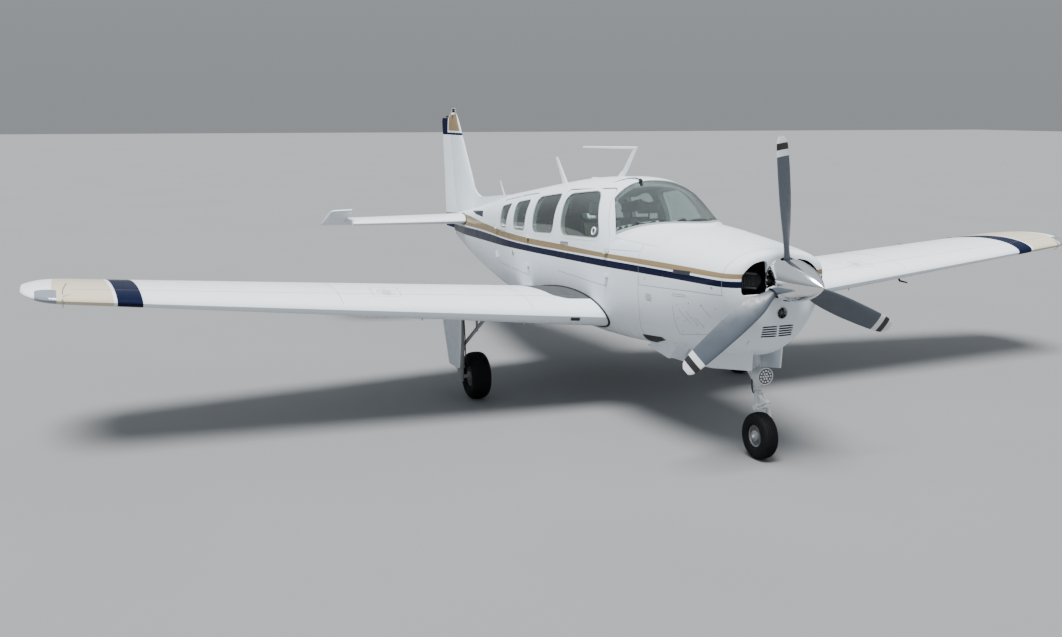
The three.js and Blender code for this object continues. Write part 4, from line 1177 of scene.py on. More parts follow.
def make_tailplane():
    right = tail_body()
    nose = rod(tail_axis(TAIL_ROOT), tail_axis(HORN_Y + 0.04), tail_nose(0) - 0.004, tail_nose(HORN_Y), 40)
    cove = rod(tail_axis(TAIL_ROOT - TAIL_GAP), tail_axis(HORN_Y - TAIL_GAP), tail_nose(0) + TAIL_GAP,
               tail_nose(HORN_Y) + COVE, 40)
    behind = join(tail_block(TAIL_ROOT, TAIL_END, TAIL_HINGE_X), tail_block(HORN_Y, TAIL_END, 0))
    elevator = join(common(copy(right), behind), nose)
    away = union([tail_block(TAIL_ROOT - TAIL_GAP, HORN_Y + 0.1, TAIL_HINGE_X + 0.001),
                  tail_block(HORN_Y - TAIL_GAP, TAIL_END, 0),
                  tail_block(-0.001, TAIL_ROOT, TAIL_HINGE_X + TRUNK + 0.0004)])
    plane = cut(right, join(away, cove))
    dress(join(plane, mirror(plane)), "tailplane_skin", "white_surface", "white", "tailplane")
    _, front, back, thick = TAILPLANE[0]
    chord = front - back
    ring = [on_skin(front - u * chord, TAIL_Z + v * chord, -1) for u, v in foil(thick * 1.06, 0, 0.002)
            if u < 0.62]
    seal = tube(ring, 0.0075, 8)
    dress(join(seal, mirror(seal)), "tailplane_root_seal", "tyre", "seal")
    half = join(elevator, rod(tail_axis(0), tail_axis(TAIL_ROOT + 0.02), TRUNK))
    elevators = turned_about(join(half, mirror(half)), tail_axis(0), "Y", -ELEVATOR_DROOP)
    dress(elevators, "elevator_skin", "white_surface", "white", "elevators", body="elevators")


def fin_loft(rows, step=0.1):
    """A foil that stands up, through rows of (z, front, back, thickness)."""
    rings = []
    for low, high in zip(rows, rows[1:]):
        count = max(1, round((high[0] - low[0]) / step))
        rings += [[a + (b - a) * k / count for a, b in zip(low, high)] for k in range(count)]
    return loft([[(front - u * (front - back), v * (front - back), z) for u, v in foil(thick, 0, 0.002)]
                 for z, front, back, thick in rings + [rows[-1]]])


def rudder_axis(z):
    return RUDDER_LOW.lerp(RUDDER_HIGH, (z - RUDDER_LOW.z) / (RUDDER_HIGH.z - RUDDER_LOW.z))


def make_beacon():
    """A clear fluted cap over a dark lamp, on a collar."""
    x, low, high, radius, collar = BEACON.values()
    base = rod((x, 0, low), (x, 0, low + collar), radius + 0.004, sides=40)
    dress(base, "beacon_collar", "white_surface", "white")
    core = rod((x, 0, low + 0.02), (x, 0, high - 0.02), radius * 0.5, radius * 0.4)
    dress(core, "beacon_lamp", "panel_plastic", "plastic")
    rings = []
    for k in range(13):
        a = pi / 2 * k / 12
        r, z = radius * max(cos(a), 0.03) ** 0.45, low + collar + (high - low - collar) * sin(a)
        rings.append([(x + r * (1 + 0.03 * cos(24 * t)) * cos(t),
                       r * (1 + 0.03 * cos(24 * t)) * sin(t), z) for t in angles(96)])
    dress(loft(rings), "beacon_cap", "clear_glass", "clear")


def make_fin(outer, clear):
    """The fin with its fillet, strake and antenna, without the rudder's room and the body."""
    strake = prism("y", STRAKE, -0.02, 0.02)
    body = union([fin_loft(FIN), fin_loft(FILLET), strake, blade_antenna(*TAIL_BLADE)])
    dress(cut(cut(body, copy(clear)), copy(outer)), "fin_skin", "white_surface", "fin", "fin")


def make_rudder():
    outline = [(rudder_axis(RUDDER_FOOT).x + 0.005, RUDDER_FOOT), (RUDDER_HIGH.x, RUDDER_HIGH.z),
               (BEHIND, RUDDER_HIGH.z), (BEHIND, 1.06), (-3.92, 1.06)]
    plate = common(fin_loft(FIN[:3] + [RUDDER_TOP]), prism("y", outline, -0.2, 0.2))
    nose = rod(rudder_axis(RUDDER_FOOT), RUDDER_LOW.lerp(RUDDER_HIGH, 0.98), 0.028, 0.013, 40)
    rudder = union([plate, nose, rod(rudder_axis(2.4), rudder_axis(2.493), 0.006)])
    rudder = turned_about(rudder, RUDDER_LOW, (RUDDER_HIGH - RUDDER_LOW).normalized(), RUDDER_TURN)
    dress(rudder, "rudder_skin", "white_surface", "fin", "rudder", body="rudder")


def make_tail_cone(outer, clear):
    inner = common(fuselage(-CONE_WALL), slab(-3.7, BULKHEAD_X + 0.05))
    cone = cut(common(copy(outer), slab(-3.86, BULKHEAD_X - PLAY)), inner)
    opening = tail_body(PLAY)
    trunk_hole = rod((TAIL_HINGE_X, -0.3, TAIL_Z), (TAIL_HINGE_X, 0.3, TAIL_Z), TRUNK + PIN_PLAY)
    for tool in (mirror(opening), opening, clear, trunk_hole):
        cone = cut(cone, tool)
    dress(cone, "tail_cone_skin", "white_paint", "body", "tail_cone")


def make_tail(outer):
    make_tailplane()
    top = RUDDER_HIGH.z + 0.005
    clear = prism("y", [(BEHIND, 1.0), (BEHIND, top), (RUDDER_HIGH.x + 0.002, top),
                        (RUDDER_LOW.x + 0.014, 1.0)], -0.2, 0.2)
    clear = join(clear, rod(rudder_axis(0.96), rudder_axis(2.4934), 0.035, 0.02, 40))
    make_fin(outer, clear)
    make_beacon()
    make_rudder()
    make_tail_cone(outer, clear)


# Cowling.

INLET = [(-0.095, 1.29), (-0.325, 1.29), (-0.33, 1.44), (-0.24, 1.52), (-0.12, 1.545)]
INLET_ROUND = 0.045
BOWL_FRONT = (3.56, 3.72)
GRILLE = {"slots": 5, "inner": 0.008, "outer": 0.132, "low": 0.972, "pitch": 0.018, "slot": 0.011}
VENT = {"y": 0.028, "z": 1.147, "radius": 0.04}
VENT_RING_X = 3.6825
VENT_FAN_X = 3.674
SHAFT_HOLE = 0.084
CYLINDER = {"x": 3.535, "z": 1.375, "barrel": 0.05, "fin": 0.066, "inner": 0.12, "pitch": 0.0145,
            "half": 0.0022}
PUSH_ROD = 0.009
PUSH_ROD_ZS = (1.325, 1.43)
BAFFLE = ((3.46, -0.38, 1.27), (3.472, 0.38, 1.56))


def make_cowling():
    cowl = cut(common(hull(0.0), slab(FIREWALL_X + PLAY, CAP_X + 0.05)),
               common(hull(-COWL_WALL), slab(FIREWALL_X - 0.01, CAP_X - 0.02)))
    cowl = cut(cowl, gear_bay())
    make_nose_bowl(common(copy(cowl), slab(BOWL_X + PLAY, CAP_X + 0.05)))
    upper = common(copy(cowl), block((2.7, -WIDE, COWL_SEAM_Z + PLAY), (BOWL_X, WIDE, 2)))
    dress_shell(upper, "cowling_upper_skin", "cowling_upper", "black")
    lower = common(cowl, block((2.7, -WIDE, UNDER), (BOWL_X, WIDE, COWL_SEAM_Z)))
    dress_shell(lower, "cowling_lower_skin", "cowling_lower", "black")
    make_engine_front()
    make_vent()
    make_cowl_seams()


def make_nose_bowl(bowl):
    back, front = BOWL_FRONT
    for side in (-1, 1):
        outline = [(-side * y, z) for y, z in INLET]
        bowl = cut(bowl, prism("x", rounded(outline, INLET_ROUND), back, front))
        y0, y1 = sorted((side * GRILLE["inner"], side * GRILLE["outer"]))
        for k in range(GRILLE["slots"]):
            z = GRILLE["low"] + k * GRILLE["pitch"]
            bowl = cut(bowl, block((back, y0, z), (front, y1, z + GRILLE["slot"])))
    bowl = cut(bowl, rod((3.6, 0, HUB_Z), (front, 0, HUB_Z), SHAFT_HOLE, sides=48))
    y, z, radius = VENT.values()
    bowl = cut(bowl, rod((back, y, z), (front, y, z), radius, sides=32))
    dress_shell(bowl, "nose_bowl_skin", "nose_bowl", "black", middle=HUB_Z)


def make_engine_front():
    """Finned cylinders and push rod tubes behind the inlets, with a baffle round them."""
    x, z = CYLINDER["x"], CYLINDER["z"]
    parts = []
    for side in (-1, 1):
        parts.append(rod((x, side * 0.1, z), (x, side * 0.35, z), CYLINDER["barrel"], sides=32))
        for k in range(16):
            y, half = side * (CYLINDER["inner"] + CYLINDER["pitch"] * k), CYLINDER["half"]
            parts.append(rod((x, y - half, z), (x, y + half, z), CYLINDER["fin"], sides=32))
        parts += [rod((3.6, side * 0.15, up), (3.56, side * 0.3, up + 0.02), PUSH_ROD) for up in PUSH_ROD_ZS]
    dress(gather(parts), "cylinder_fins", "engine", "fins")
    baffle = common(block(*BAFFLE), hull(-COWL_WALL - 0.002))
    dress(baffle, "inlet_baffle", "engine", "black")


def make_vent():
    """A ring and a fan in the round vent."""
    y, z, radius = VENT.values()
    dress(hoop((VENT_RING_X, y, z), radius + 0.003, (1, 0, 0), 0.004), "vent_ring", "gear_steel", "steel")
    x = VENT_FAN_X
    vanes = [sweep([(x, y, z), (x, y + radius * cos(a), z + radius * sin(a))], 0.007, 0.002,
                   (1, 0.4, 0)) for a in angles(7)]
    vanes.append(rod((x - 0.008, y, z), (x + 0.005, y, z), 0.009))
    dress(gather(vanes), "vent_vanes", "gear_steel", "fins")


# Seams, fasteners and small openings on the cowling's side, as (x, z).
COWL_SEAMS = [
    [(2.551, 1.319), (2.555, 1.225), (2.948, 1.252), (3.306, 1.275), (3.581, 1.286), (3.585, 1.444)],
    [(2.551, 1.319), (2.543, 1.0), (2.442, 0.804)],
    [(2.045, 1.447), (2.498, 1.483)],
    [(2.5, 1.56), (2.551, 1.319)],
    [(3.091, 1.107), (3.186, 1.023)], [(3.169, 1.11), (3.257, 1.017)], [(3.252, 1.07), (3.319, 1.009)],
    [(2.998, 0.894), (3.326, 0.948)],
    [(2.998, 0.894), (3.02, 1.13)],
    [(3.35, 1.185), (3.43, 1.1)],
]
COWL_DOTS = [(3.074, 1.149), (3.22, 1.177), (3.363, 1.183), (3.496, 1.173), (3.053, 1.038), (3.128, 1.027),
             (3.188, 1.017), (3.249, 1.009), (3.311, 1.0), (3.053, 0.929), (3.203, 0.939), (3.354, 0.969),
             (3.517, 1.093)]
CAMLOCKS = [(2.651, 1.288), (3.49, 1.332)]
SLATS = {"back": 2.672, "front": 2.737, "heights": (1.13, 1.145, 1.16)}
SQUARE_VENT = [(2.664, 1.118), (2.745, 1.118), (2.745, 1.172), (2.664, 1.172)]
SLOT = [(3.03, 1.206), (3.19, 1.218), (3.19, 1.233), (3.03, 1.222)]
# Thin plates: name, slot, look, how proud, and outline.
PLATES = [
    # The outlet is a black plate on the skin, a painted shade of the opening behind the cowl flap.
    ("cowl_outlet_shade", "engine", "black", 0.0007,
     [(2.33, 0.7), (2.42, 0.705), (2.72, 0.79), (2.7, 0.815), (2.4, 0.785)]),
    ("cowl_latch", "white_paint", "slate", 0.0007,
     [(3.024, 1.378), (3.236, 1.388), (3.236, 1.418), (3.024, 1.408)]),
    ("tail_patch", "white_paint", "navy", 0.0006,
     [(-2.6, 1.378), (-1.76, 1.45), (-1.62, 1.39), (-2.15, 1.374)]),
]
# The crease under the chin, as (x, y, z), and the seam round the bowl: its station and lower end.
CHIN_LINE = [(3.672, -0.185, 1.06), (3.662, -0.191, 1.031), (3.64, -0.198, 0.985), (3.606, -0.199, 0.936),
             (3.54, -0.185, 0.884), (3.439, -0.156, 0.839)]
BOWL_SEAM = (3.585, 1.44)
SEAM_WIDE = 0.0034
SEAM_PROUD = 0.0004


def make_cowl_seams():
    """Seams, fasteners and thin plates on both sides, and the seam round the bowl."""
    for side, name in ((-1, "right"), (1, "left")):
        lines = [skin_strip(points, side, SEAM_WIDE, SEAM_PROUD) for points in COWL_SEAMS]
        lines += [skin_strip(points, side, SEAM_WIDE, SEAM_PROUD, True) for points in (SQUARE_VENT, SLOT)]
        chin = [(x, -side * y, z) for x, y, z in CHIN_LINE]
        lines.append(sweep(chin, SEAM_WIDE, 0.0012, lambda p: (0.5, p.y * 4, -0.5)))
        dress(gather(lines), f"cowl_seams_{name}", "white_paint", "seam")
        dots = [skin_dot(x, z, side, 0.0075, 0.0008) for x, z in COWL_DOTS]
        dots += [skin_dot(x, z, side, 0.012, 0.0012, 24) for x, z in CAMLOCKS]
        dots += [skin_strip([(SLATS["back"], z), (SLATS["front"], z)], side, 0.006, 0.0015)
                 for z in SLATS["heights"]]
        dress(gather(dots), f"cowl_fasteners_{name}", "gear_steel", "steel")
        for plate, slot, look, proud, outline in PLATES:
            dress(skin_patch(outline, side, proud), f"{plate}_{name}", slot, look)
    x, low = BOWL_SEAM
    ring = sorted((p for p in section_ring(x, between(NOSE, x), 0.0) if p[2] > low), key=lambda p: p[1])
    seam = sweep(ring, SEAM_WIDE, SEAM_PROUD, lambda p: (0, p.y, p.z - 1.3))
    dress(seam, "bowl_seam", "white_paint", "seam")


# Propeller.

# Blade sections: radius, chord, thickness and pitch in degrees.
BLADE_ROWS = [(0.12, 0.062, 0.95, 40), (0.19, 0.084, 0.46, 44), (0.3, 0.148, 0.2, 40),
              (0.5, 0.168, 0.13, 31), (0.72, 0.16, 0.1, 25), (0.9, 0.14, 0.08, 21),
              (0.985, 0.112, 0.08, 19), (PROP_R, 0.056, 0.08, 19)]
SPINNER_PROFILE = [(0, 1), (0.25, 0.965), (0.45, 0.86), (0.65, 0.665), (0.82, 0.41), (0.95, 0.15), (1, 0)]
SPINNER_WALL = 0.007
HUB_RADIUS = 0.078
BLADE_STEM = 0.034
BLADE_HOLE = 0.048
BLADE_COUNT = 3
BLADE_STEPS = 40
SCREW_COUNT = 24


def at_hub(angle, r):
    return Vector((HUB_X, -r * sin(angle), HUB_Z + r * cos(angle)))


def shaft_rod(x0, x1, radius, sides=48):
    return rod((x0, 0, HUB_Z), (x1, 0, HUB_Z), radius, sides=sides)


def blade(angle):
    """One blade: each section lies across the way out, turned by its pitch, about 0.4 of its chord."""
    rings = []
    for k in range(BLADE_STEPS + 1):
        r = BLADE_ROWS[0][0] + (PROP_R - BLADE_ROWS[0][0]) * k / BLADE_STEPS
        chord, thick, pitch = between(BLADE_ROWS, r)
        turn = radians(90 - pitch)
        ring = []
        for u, v in foil(thick, 0.01, 0.02, 10):
            wide, deep = (u - 0.4) * chord, v * chord
            p = Vector((deep * sin(turn) - wide * cos(turn),
                        wide * sin(turn) + deep * cos(turn), r))
            p.rotate(Matrix.Rotation(angle, 3, "X"))
            ring.append(p + Vector((HUB_X, 0, HUB_Z)))
        rings.append(ring)
    return join(loft(rings), rod(at_hub(angle, 0), at_hub(angle, 0.14), BLADE_STEM))


def dome(back, long, inset):
    """The spinner's shape from its back edge, moved inward."""
    rings = []
    for t in (k / 40 for k in range(41)):
        r = max(SPINNER_R * max(between(SPINNER_PROFILE, t)[0], 0.0) - inset, 0.0004)
        rings.append([(back + long * t, r * cos(a), HUB_Z + r * sin(a)) for a in angles(64)])
    return loft(rings)


def at_rim(angle, sink):
    """On the spinner's rim, a little in or out of its surface."""
    r = SPINNER_R * 0.995 - sink
    return Vector((SPINNER_BACK + 0.022, r * sin(angle), HUB_Z + r * cos(angle)))


def make_propeller():
    long = SPINNER_TIP - SPINNER_BACK
    spinner = cut(dome(SPINNER_BACK, long, 0),
                  dome(SPINNER_BACK - 0.001, long - 2 * SPINNER_WALL, SPINNER_WALL))
    hub = join(shaft_rod(SPINNER_BACK + 0.006, HUB_X + 0.07, HUB_RADIUS),
               shaft_rod(SPINNER_BACK, SPINNER_BACK + 0.008, SPINNER_R - 0.0094, 64))
    for k in range(BLADE_COUNT):
        angle = radians(BLADE_START + 360 / BLADE_COUNT * k)
        hub = join(hub, blade(angle))
        spinner = cut(spinner, rod(at_hub(angle, 0.09), at_hub(angle, 0.22), BLADE_HOLE, sides=48))
    dress(hub, "blades", "blade_paint", "blade", "propeller", body="propeller")
    dress(spinner, "spinner_dome", "polished", "chrome", "spinner", body="propeller")
    plate = shaft_rod(SPINNER_BACK, SPINNER_BACK + 0.004, SPINNER_R - 0.002, 96)
    dress(plate, "spinner_backplate", "engine", "black", body="propeller")
    screws = [rod(at_rim(a, 0.003), at_rim(a, -0.003), 0.004, sides=10) for a in angles(SCREW_COUNT)]
    screws.append(hoop((SPINNER_BACK + 0.012, 0, HUB_Z), SPINNER_R - 0.0015, (1, 0, 0), 0.0018, 96, 8))
    dress(gather(screws), "spinner_screws", "gear_steel", "steel", body="propeller")


# Gear.

STEER_LOW = Vector((NOSE_AXLE_X, 0, NOSE_R))
STEER_TOP = Vector((3.364, 0, 0.96))
LEG_SPLIT = 0.44
ARM_Y = 0.09
LAMP = {"back": 3.44, "front": 3.552, "z": 0.645, "radius": 0.066}
# The lamp's cells: how many stand on a ring, and the ring's radius.
LAMP_CELLS = ((1, 0.0), (6, 0.021), (12, 0.043))
LAMP_LEAD = [(3.42, -0.03, 0.6), (3.44, -0.045, 0.56), (3.452, -0.048, 0.53), (3.458, -0.04, 0.5)]
LINK_PIN = Vector((3.585, 0, 0.456))
# Torque links: where they start along the leg, and how far to each side.
LINK_ROOTS = ((0.412, 0.026), (0.285, 0.022))
LEG_Y = -MAIN_Y - 0.15
# Wheels: radius, radius of the rim, width, bore, and number of holes in the rim.
NOSE_WHEEL = (NOSE_R, 0.082, 0.126, 0.0125, 6)
MAIN_WHEEL = (MAIN_R, 0.092, 0.172, 0.0185, 8)


def on_leg(t):
    return STEER_LOW.lerp(STEER_TOP, t)


def make_nose_leg():
    shoulder = on_leg(0.62)
    x0, x1, z, radius = LAMP.values()
    leg = round_rods([
        (on_leg(LEG_SPLIT), shoulder, 0.028, 0.038), (shoulder, STEER_TOP, 0.038),
        (on_leg(LEG_SPLIT), on_leg(LEG_SPLIT + 0.018), 0.037),
        (on_leg(LEG_SPLIT + 0.05), on_leg(LEG_SPLIT + 0.058), 0.034),
        (on_leg(0.6), on_leg(0.615), 0.043), (on_leg(0.66), on_leg(0.67), 0.042),
        ((3.38, 0, 0.93), (FIREWALL_X + PLAY, 0, 0.93), 0.03),
        (on_leg(0.47), (3.0, 0, 0.9), 0.012), ((3.0, 0, 0.9), (3.0, 0, 0.93), 0.014),
        ((x0, 0, z), (x1 - 0.004, 0, z), radius - 0.014, radius - 0.001),
        (on_leg(0.57), (x0 + 0.03, 0, z), 0.022),
    ], 40)
    for a in angles(6):
        foot = on_leg(LEG_SPLIT + 0.018) + Vector((0.033 * cos(a), 0.033 * sin(a), 0))
        leg = join(leg, rod(foot - Vector((0, 0, 0.004)), foot + Vector((0, 0, 0.008)), 0.004, sides=6))
    dress(leg, "nose_leg_strut", "gear_steel", "gear", "nose_leg")


def make_lamp():
    _, x, z, radius = LAMP.values()
    dress(hoop((x - 0.004, 0, z), radius - 0.004, (1, 0, 0), 0.004, 64), "lamp_ring", "gear_steel", "gear")
    dress(rod((x - 0.008, 0, z), (x - 0.003, 0, z), radius - 0.004, sides=64), "lamp_back", "panel_plastic",
          "plastic")
    cells = []
    for count, out in LAMP_CELLS:
        for a in angles(count):
            y, up = out * cos(a), z + out * sin(a)
            cells.append(rod((x - 0.004, y, up), (x - 0.001, y, up), 0.0082, 0.0072, 20))
    dress(gather(cells), "lamp_cells", "clear_glass", "lens")
    dress(tube(LAMP_LEAD, 0.005), "lamp_lead", "panel_plastic", "seal")


def make_fork():
    crown = on_leg(0.27)
    fork = round_rods([
        (crown, on_leg(LEG_SPLIT) - Vector((0, 0, 0.0005)), 0.023), (on_leg(0.4), on_leg(0.425), 0.034),
        ((crown.x, ARM_Y, crown.z), (NOSE_AXLE_X, ARM_Y, NOSE_R - 0.018), 0.019, 0.016),
        ((NOSE_AXLE_X, -0.062, NOSE_R), (NOSE_AXLE_X, ARM_Y, NOSE_R), 0.012),
        ((crown.x, -0.036, crown.z), (crown.x, ARM_Y, crown.z), 0.02),
        (on_leg(0.25), on_leg(0.31), 0.031),
        ((NOSE_AXLE_X, ARM_Y - 0.01, NOSE_R), (NOSE_AXLE_X, ARM_Y + 0.014, NOSE_R), 0.022),
    ], 32)
    links = [rod(LINK_PIN - Vector((0, 0.014, 0)), LINK_PIN + Vector((0, 0.014, 0)), 0.01)]
    links += [rod(on_leg(t) + Vector((0.012, side * out, 0)), LINK_PIN + Vector((0, side * 0.007, 0)),
                  0.0075, 0.006, 16) for side in (-1, 1) for t, out in LINK_ROOTS]
    dress(union([fork] + links), "nose_fork_arm", "gear_steel", "gear", "nose_fork", body="nose_fork")


def tyre_profile(radius, rim, width, grooves):
    """The tyre's closed section: beads, bulging walls and a crowned tread with grooves."""
    half, wide = width / 2, rim + (radius - rim) * 0.5
    tread = []
    for k in range(-14, 15):
        w = half * sin(pi / 2 * k / 14)
        if all(abs(w - g) > 0.005 for g in grooves):
            tread.append((w, 0))
    for g in grooves:
        tread += [(g - 0.0035, 0), (g - 0.0025, 0.005), (g + 0.0025, 0.005), (g + 0.0035, 0)]
    top = [(wide + (radius - wide) * (1 - min(abs(w) / half, 1) ** 2.7) ** (1 / 2.7) - deep, w)
           for w, deep in sorted(tread)]
    wall = []
    for a in (pi / 2 * k / 8 for k in range(1, 9)):
        wall.append((wide - (wide - rim - 0.001) * sin(a), half - 0.28 * half * (1 - cos(a))))
    wall.insert(2, (wall[1][0] - 0.002, wall[1][1] + 0.0016))
    return top + wall + [(r, -w) for r, w in reversed(wall)]


def rim_profile(rim, width, bore):
    half = width / 2
    face = [(bore, 0.82), (bore + 0.004, 0.86), (rim * 0.42, 0.86), (rim * 0.5, 0.8), (rim * 0.54, 0.5),
            (rim * 0.6, 0.4), (rim * 0.78, 0.36), (rim * 0.86, 0.42), (rim * 0.9, 0.56), (rim * 0.93, 0.7),
            (rim * 0.96, 0.735), (rim, 0.72)]
    return [(r, w * half) for r, w in face] + [(r, -w * half) for r, w in reversed(face)]


def wheel(x, y, sizes, name, body, side_name=""):
    """A tyre and a rim with lightening holes, tie bolts, hub caps and a valve."""
    radius, rim, width, bore, holes = sizes
    half = width / 2

    def spot(a, out, w):
        return Vector((x + out * sin(a), y + w, radius + out * cos(a)))

    def pin(a, out, start, end, *sizes, sides):
        return rod(spot(a, out, start), spot(a, out, end), *sizes, sides=sides)

    grooves = [k * width * 0.13 for k in (-2, -1, 0, 1, 2)]
    tyre = turned(tyre_profile(radius, rim, width, grooves), x, y, radius)
    dress(tyre, f"{name}_tyre_tread{side_name}", "tyre", "rubber", f"{name}_tyre{side_name}", body=body)
    disc = turned(rim_profile(rim, width, bore), x, y, radius)
    for k in range(holes):
        disc = cut(disc, pin(2 * pi * (k + 0.5) / holes, rim * 0.7, -half, half, rim * 0.085, sides=20))
    for a in angles(holes):
        disc = join(disc, pin(a, rim * 0.7, -half * 0.44, half * 0.44, 0.0055, sides=6))
    for end in (-1, 1):
        cap = pin(0, 0, end * half * 0.8, end * half * 0.9, rim * 0.34, rim * 0.26, sides=32)
        disc = join(disc, cut(cap, pin(0, 0, -half, half, bore, sides=32)))
    valve = spot(0.6, rim * 0.84, half * 0.42)
    disc = join(disc, rod(valve, valve + Vector((0, 0.022, 0)), 0.0035))
    dress(disc, f"{name}_rim_disc{side_name}", "wheel_metal", "rim", f"{name}_rim{side_name}", body=body)


# Main gear, as distances from the leg: the door and its step in (x, z), the brake line in (x, y, z).
MAIN_DOOR = [(-0.18, 0.308), (0.09, 0.312), (0.13, 0.56), (0.15, 0.9), (-0.4, 0.9), (-0.385, 0.74)]
DOOR_STEP = [(-0.29, 0.56), (0.128, 0.56), (0.13, 0.572), (-0.3, 0.572)]
BRAKE_LINE = [(0.03, 0.02, 0.86), (0.042, 0.03, 0.6), (0.044, 0.034, 0.42), (0.05, 0.06, 0.3),
              (0.045, 0.06, 0.27)]
BRAKE_DISC = [(0.03, 0.066), (0.075, 0.066), (0.075, 0.074), (0.03, 0.074)]


def make_main_leg():
    x, y = MAIN_X, LEG_Y
    leg = round_rods([
        ((x, y, 0.3), (x, y, 0.9), 0.036), ((x, y, MAIN_R - 0.04), (x, y, 0.32), 0.03),
        ((x, y, MAIN_R), (x, -MAIN_Y + 0.08, MAIN_R), 0.018),
        ((x, y, 0.47), (x, y + 0.33, 0.84), 0.016),
        ((x, y, 0.3), (x, y, 0.315), 0.042), ((x, y, 0.46), (x, y, 0.485), 0.044),
        ((x, y + 0.16, 0.62), (x - 0.02, y + 0.16, 0.86), 0.011),
        ((x - 0.11, y, 0.3), (x - 0.11, y + 0.016, 0.3), 0.01),
    ], 32)
    for z in (0.235, 0.365):
        leg = join(leg, rod((x, y, z), (x - 0.11, y + 0.008, 0.3), 0.009, 0.008, 16))
    return leg


def make_main_gear():
    sheath = wing_body(0.3, 3.0, 20)
    leg = cut(make_main_leg(), copy(sheath))
    outline = rounded([(MAIN_X + dx, z) for dx, z in MAIN_DOOR], 0.02)
    door = cut(prism("y", outline, LEG_Y - 0.05, LEG_Y - 0.0363), sheath)
    door = join(door, prism("y", [(MAIN_X + dx, z) for dx, z in DOOR_STEP], LEG_Y - 0.0525, LEG_Y - 0.0495))
    line = tube([(MAIN_X + dx, LEG_Y + dy, z) for dx, dy, z in BRAKE_LINE], 0.005)
    disc = turned(BRAKE_DISC, MAIN_X, -MAIN_Y, MAIN_R)
    caliper = block((MAIN_X + 0.03, -MAIN_Y + 0.052, MAIN_R - 0.02),
                    (MAIN_X + 0.082, -MAIN_Y + 0.088, MAIN_R + 0.045))
    # The main legs take the darker strut look, which holds dirt and painted shade.
    dress_pair(leg, "main_leg_strut", "gear_steel", "strut", "main_leg")
    dress_pair(door, "main_door_panel", "white_paint", "white", "main_door")
    dress_pair(line, "brake_line", "panel_plastic", "seal")
    dress_pair(disc, "brake_disc", "gear_steel", "steel", body="main_wheel")
    dress_pair(caliper, "brake_caliper", "gear_steel", "alloy")
    for side, name in ((-1, "right"), (1, "left")):
        wheel(MAIN_X, side * MAIN_Y, MAIN_WHEEL, "main", f"main_wheel_{name}", f"_{name}")


# Cabin fittings.

# Seats: name, place of the middle (x, y), facing, size and width, and the node that they replace.
SEATS = [
    ("seat_front_right", 1.52, -0.246, 1, 0.9, 0.43, "seat_front_right"),
    ("seat_front_left", 1.52, 0.246, 1, 0.9, 0.43, "seat_front_left"),
    ("seat_middle_right", 0.52, -0.262, -1, 0.88, 0.43, "seat_middle_right"),
    ("seat_middle_left", 0.52, 0.262, -1, 0.88, 0.43, "seat_middle_left"),
    ("seat_rear_right", -0.37, -0.19, 1, 0.68, 0.37, "seat_rear"),
    ("seat_rear_left", -0.37, 0.19, 1, 0.68, 0.37, "seat_rear"),
]
# Pads in a seat's own frame, for a seat of full size: name, corners (x, z), width as a part of the
# seat's, and where its sewn channels run.
PADS = [
    ("cushion", [(-0.205, 0.205), (0.215, 0.215), (0.225, 0.312), (-0.14, 0.29)], 0.93, (-0.066, 0.066)),
    ("back", [(-0.235, 0.27), (-0.165, 0.32), (-0.3, 0.775), (-0.372, 0.775)], 0.93, (-0.066, 0.066)),
    ("headrest", [(-0.375, 0.805), (-0.305, 0.805), (-0.312, 0.965), (-0.368, 0.965)], 0.6, ()),
]
SEAT_BASE = [(-0.235, 0), (-0.215, 0), (-0.215, 0.17), (0.19, 0.17), (0.19, 0), (0.215, 0), (0.235, 0.2),
             (-0.235, 0.2)]
SEAT_HOLLOW = [(-0.2, -0.01), (0.17, -0.01), (0.17, 0.15), (-0.2, 0.15)]
SEAT_PLATE = [(-0.25, 0.2), (-0.235, 0.2), (-0.372, 0.76), (-0.383, 0.76)]
PAD_VOXEL = 0.009
PAD_CAP = 0.022
PAD_FRAMES = 20
CHANNEL_DEEP = 0.007
CHANNEL_WIDE = 0.006
UNIT_WIDTH = 0.43


def puffed(pad):
    """Blows a pad up as cloth, with each point's way capped."""
    change = pad.modifiers.new("remesh", "REMESH")
    change.mode = "VOXEL"
    change.voxel_size = PAD_VOXEL
    bake(pad)
    start = [v.co.copy() for v in pad.data.vertices]
    cloth = pad.modifiers.new("cloth", "CLOTH")
    cloth.settings.use_pressure = True
    cloth.settings.uniform_pressure_force = 4
    cloth.settings.effector_weights.gravity = 0
    for frame_number in range(1, PAD_FRAMES + 1):
        bpy.context.scene.frame_set(frame_number)
    bake(pad)
    bpy.context.scene.frame_set(1)
    for v, old in zip(pad.data.vertices, start):
        way = v.co - old
        if way.length > PAD_CAP:
            v.co = old + way.normalized() * PAD_CAP
    return pad


def sewn(pad, channels):
    """Presses channels into a pad, then smooths it."""
    middle = sum((v.co for v in pad.data.vertices), Vector()) / len(pad.data.vertices)
    for v in pad.data.vertices:
        for y in channels:
            near = exp(-((v.co.y - y) / CHANNEL_WIDE) ** 2)
            v.co += (middle - v.co).normalized() * CHANNEL_DEEP * near
    smooth = pad.modifiers.new("fine", "SUBSURF")
    smooth.levels = smooth.render_levels = 1
    return bake(pad)


def unit_pads():
    """One pad of each kind, at full size, about the middle of a seat."""
    pads = {}
    for name, corners, wide, channels in PADS:
        half = UNIT_WIDTH * wide / 2 - 0.012
        pads[name] = sewn(puffed(prism("y", rounded(corners, 0.03, 0.008), -half, half)), channels)
    return pads


def seat_frame(half):
    base = cut(prism("y", SEAT_BASE, -half, half), prism("y", SEAT_HOLLOW, -half - 0.01, half + 0.01))
    base = cut(base, block((-0.3, -half + 0.03, -0.01), (0.3, half - 0.03, 0.16)))
    post = rod((-0.34, 0, 0.74), (-0.34, 0, 0.85), 0.008)
    return gather([base, post, prism("y", SEAT_PLATE, -half, half)])


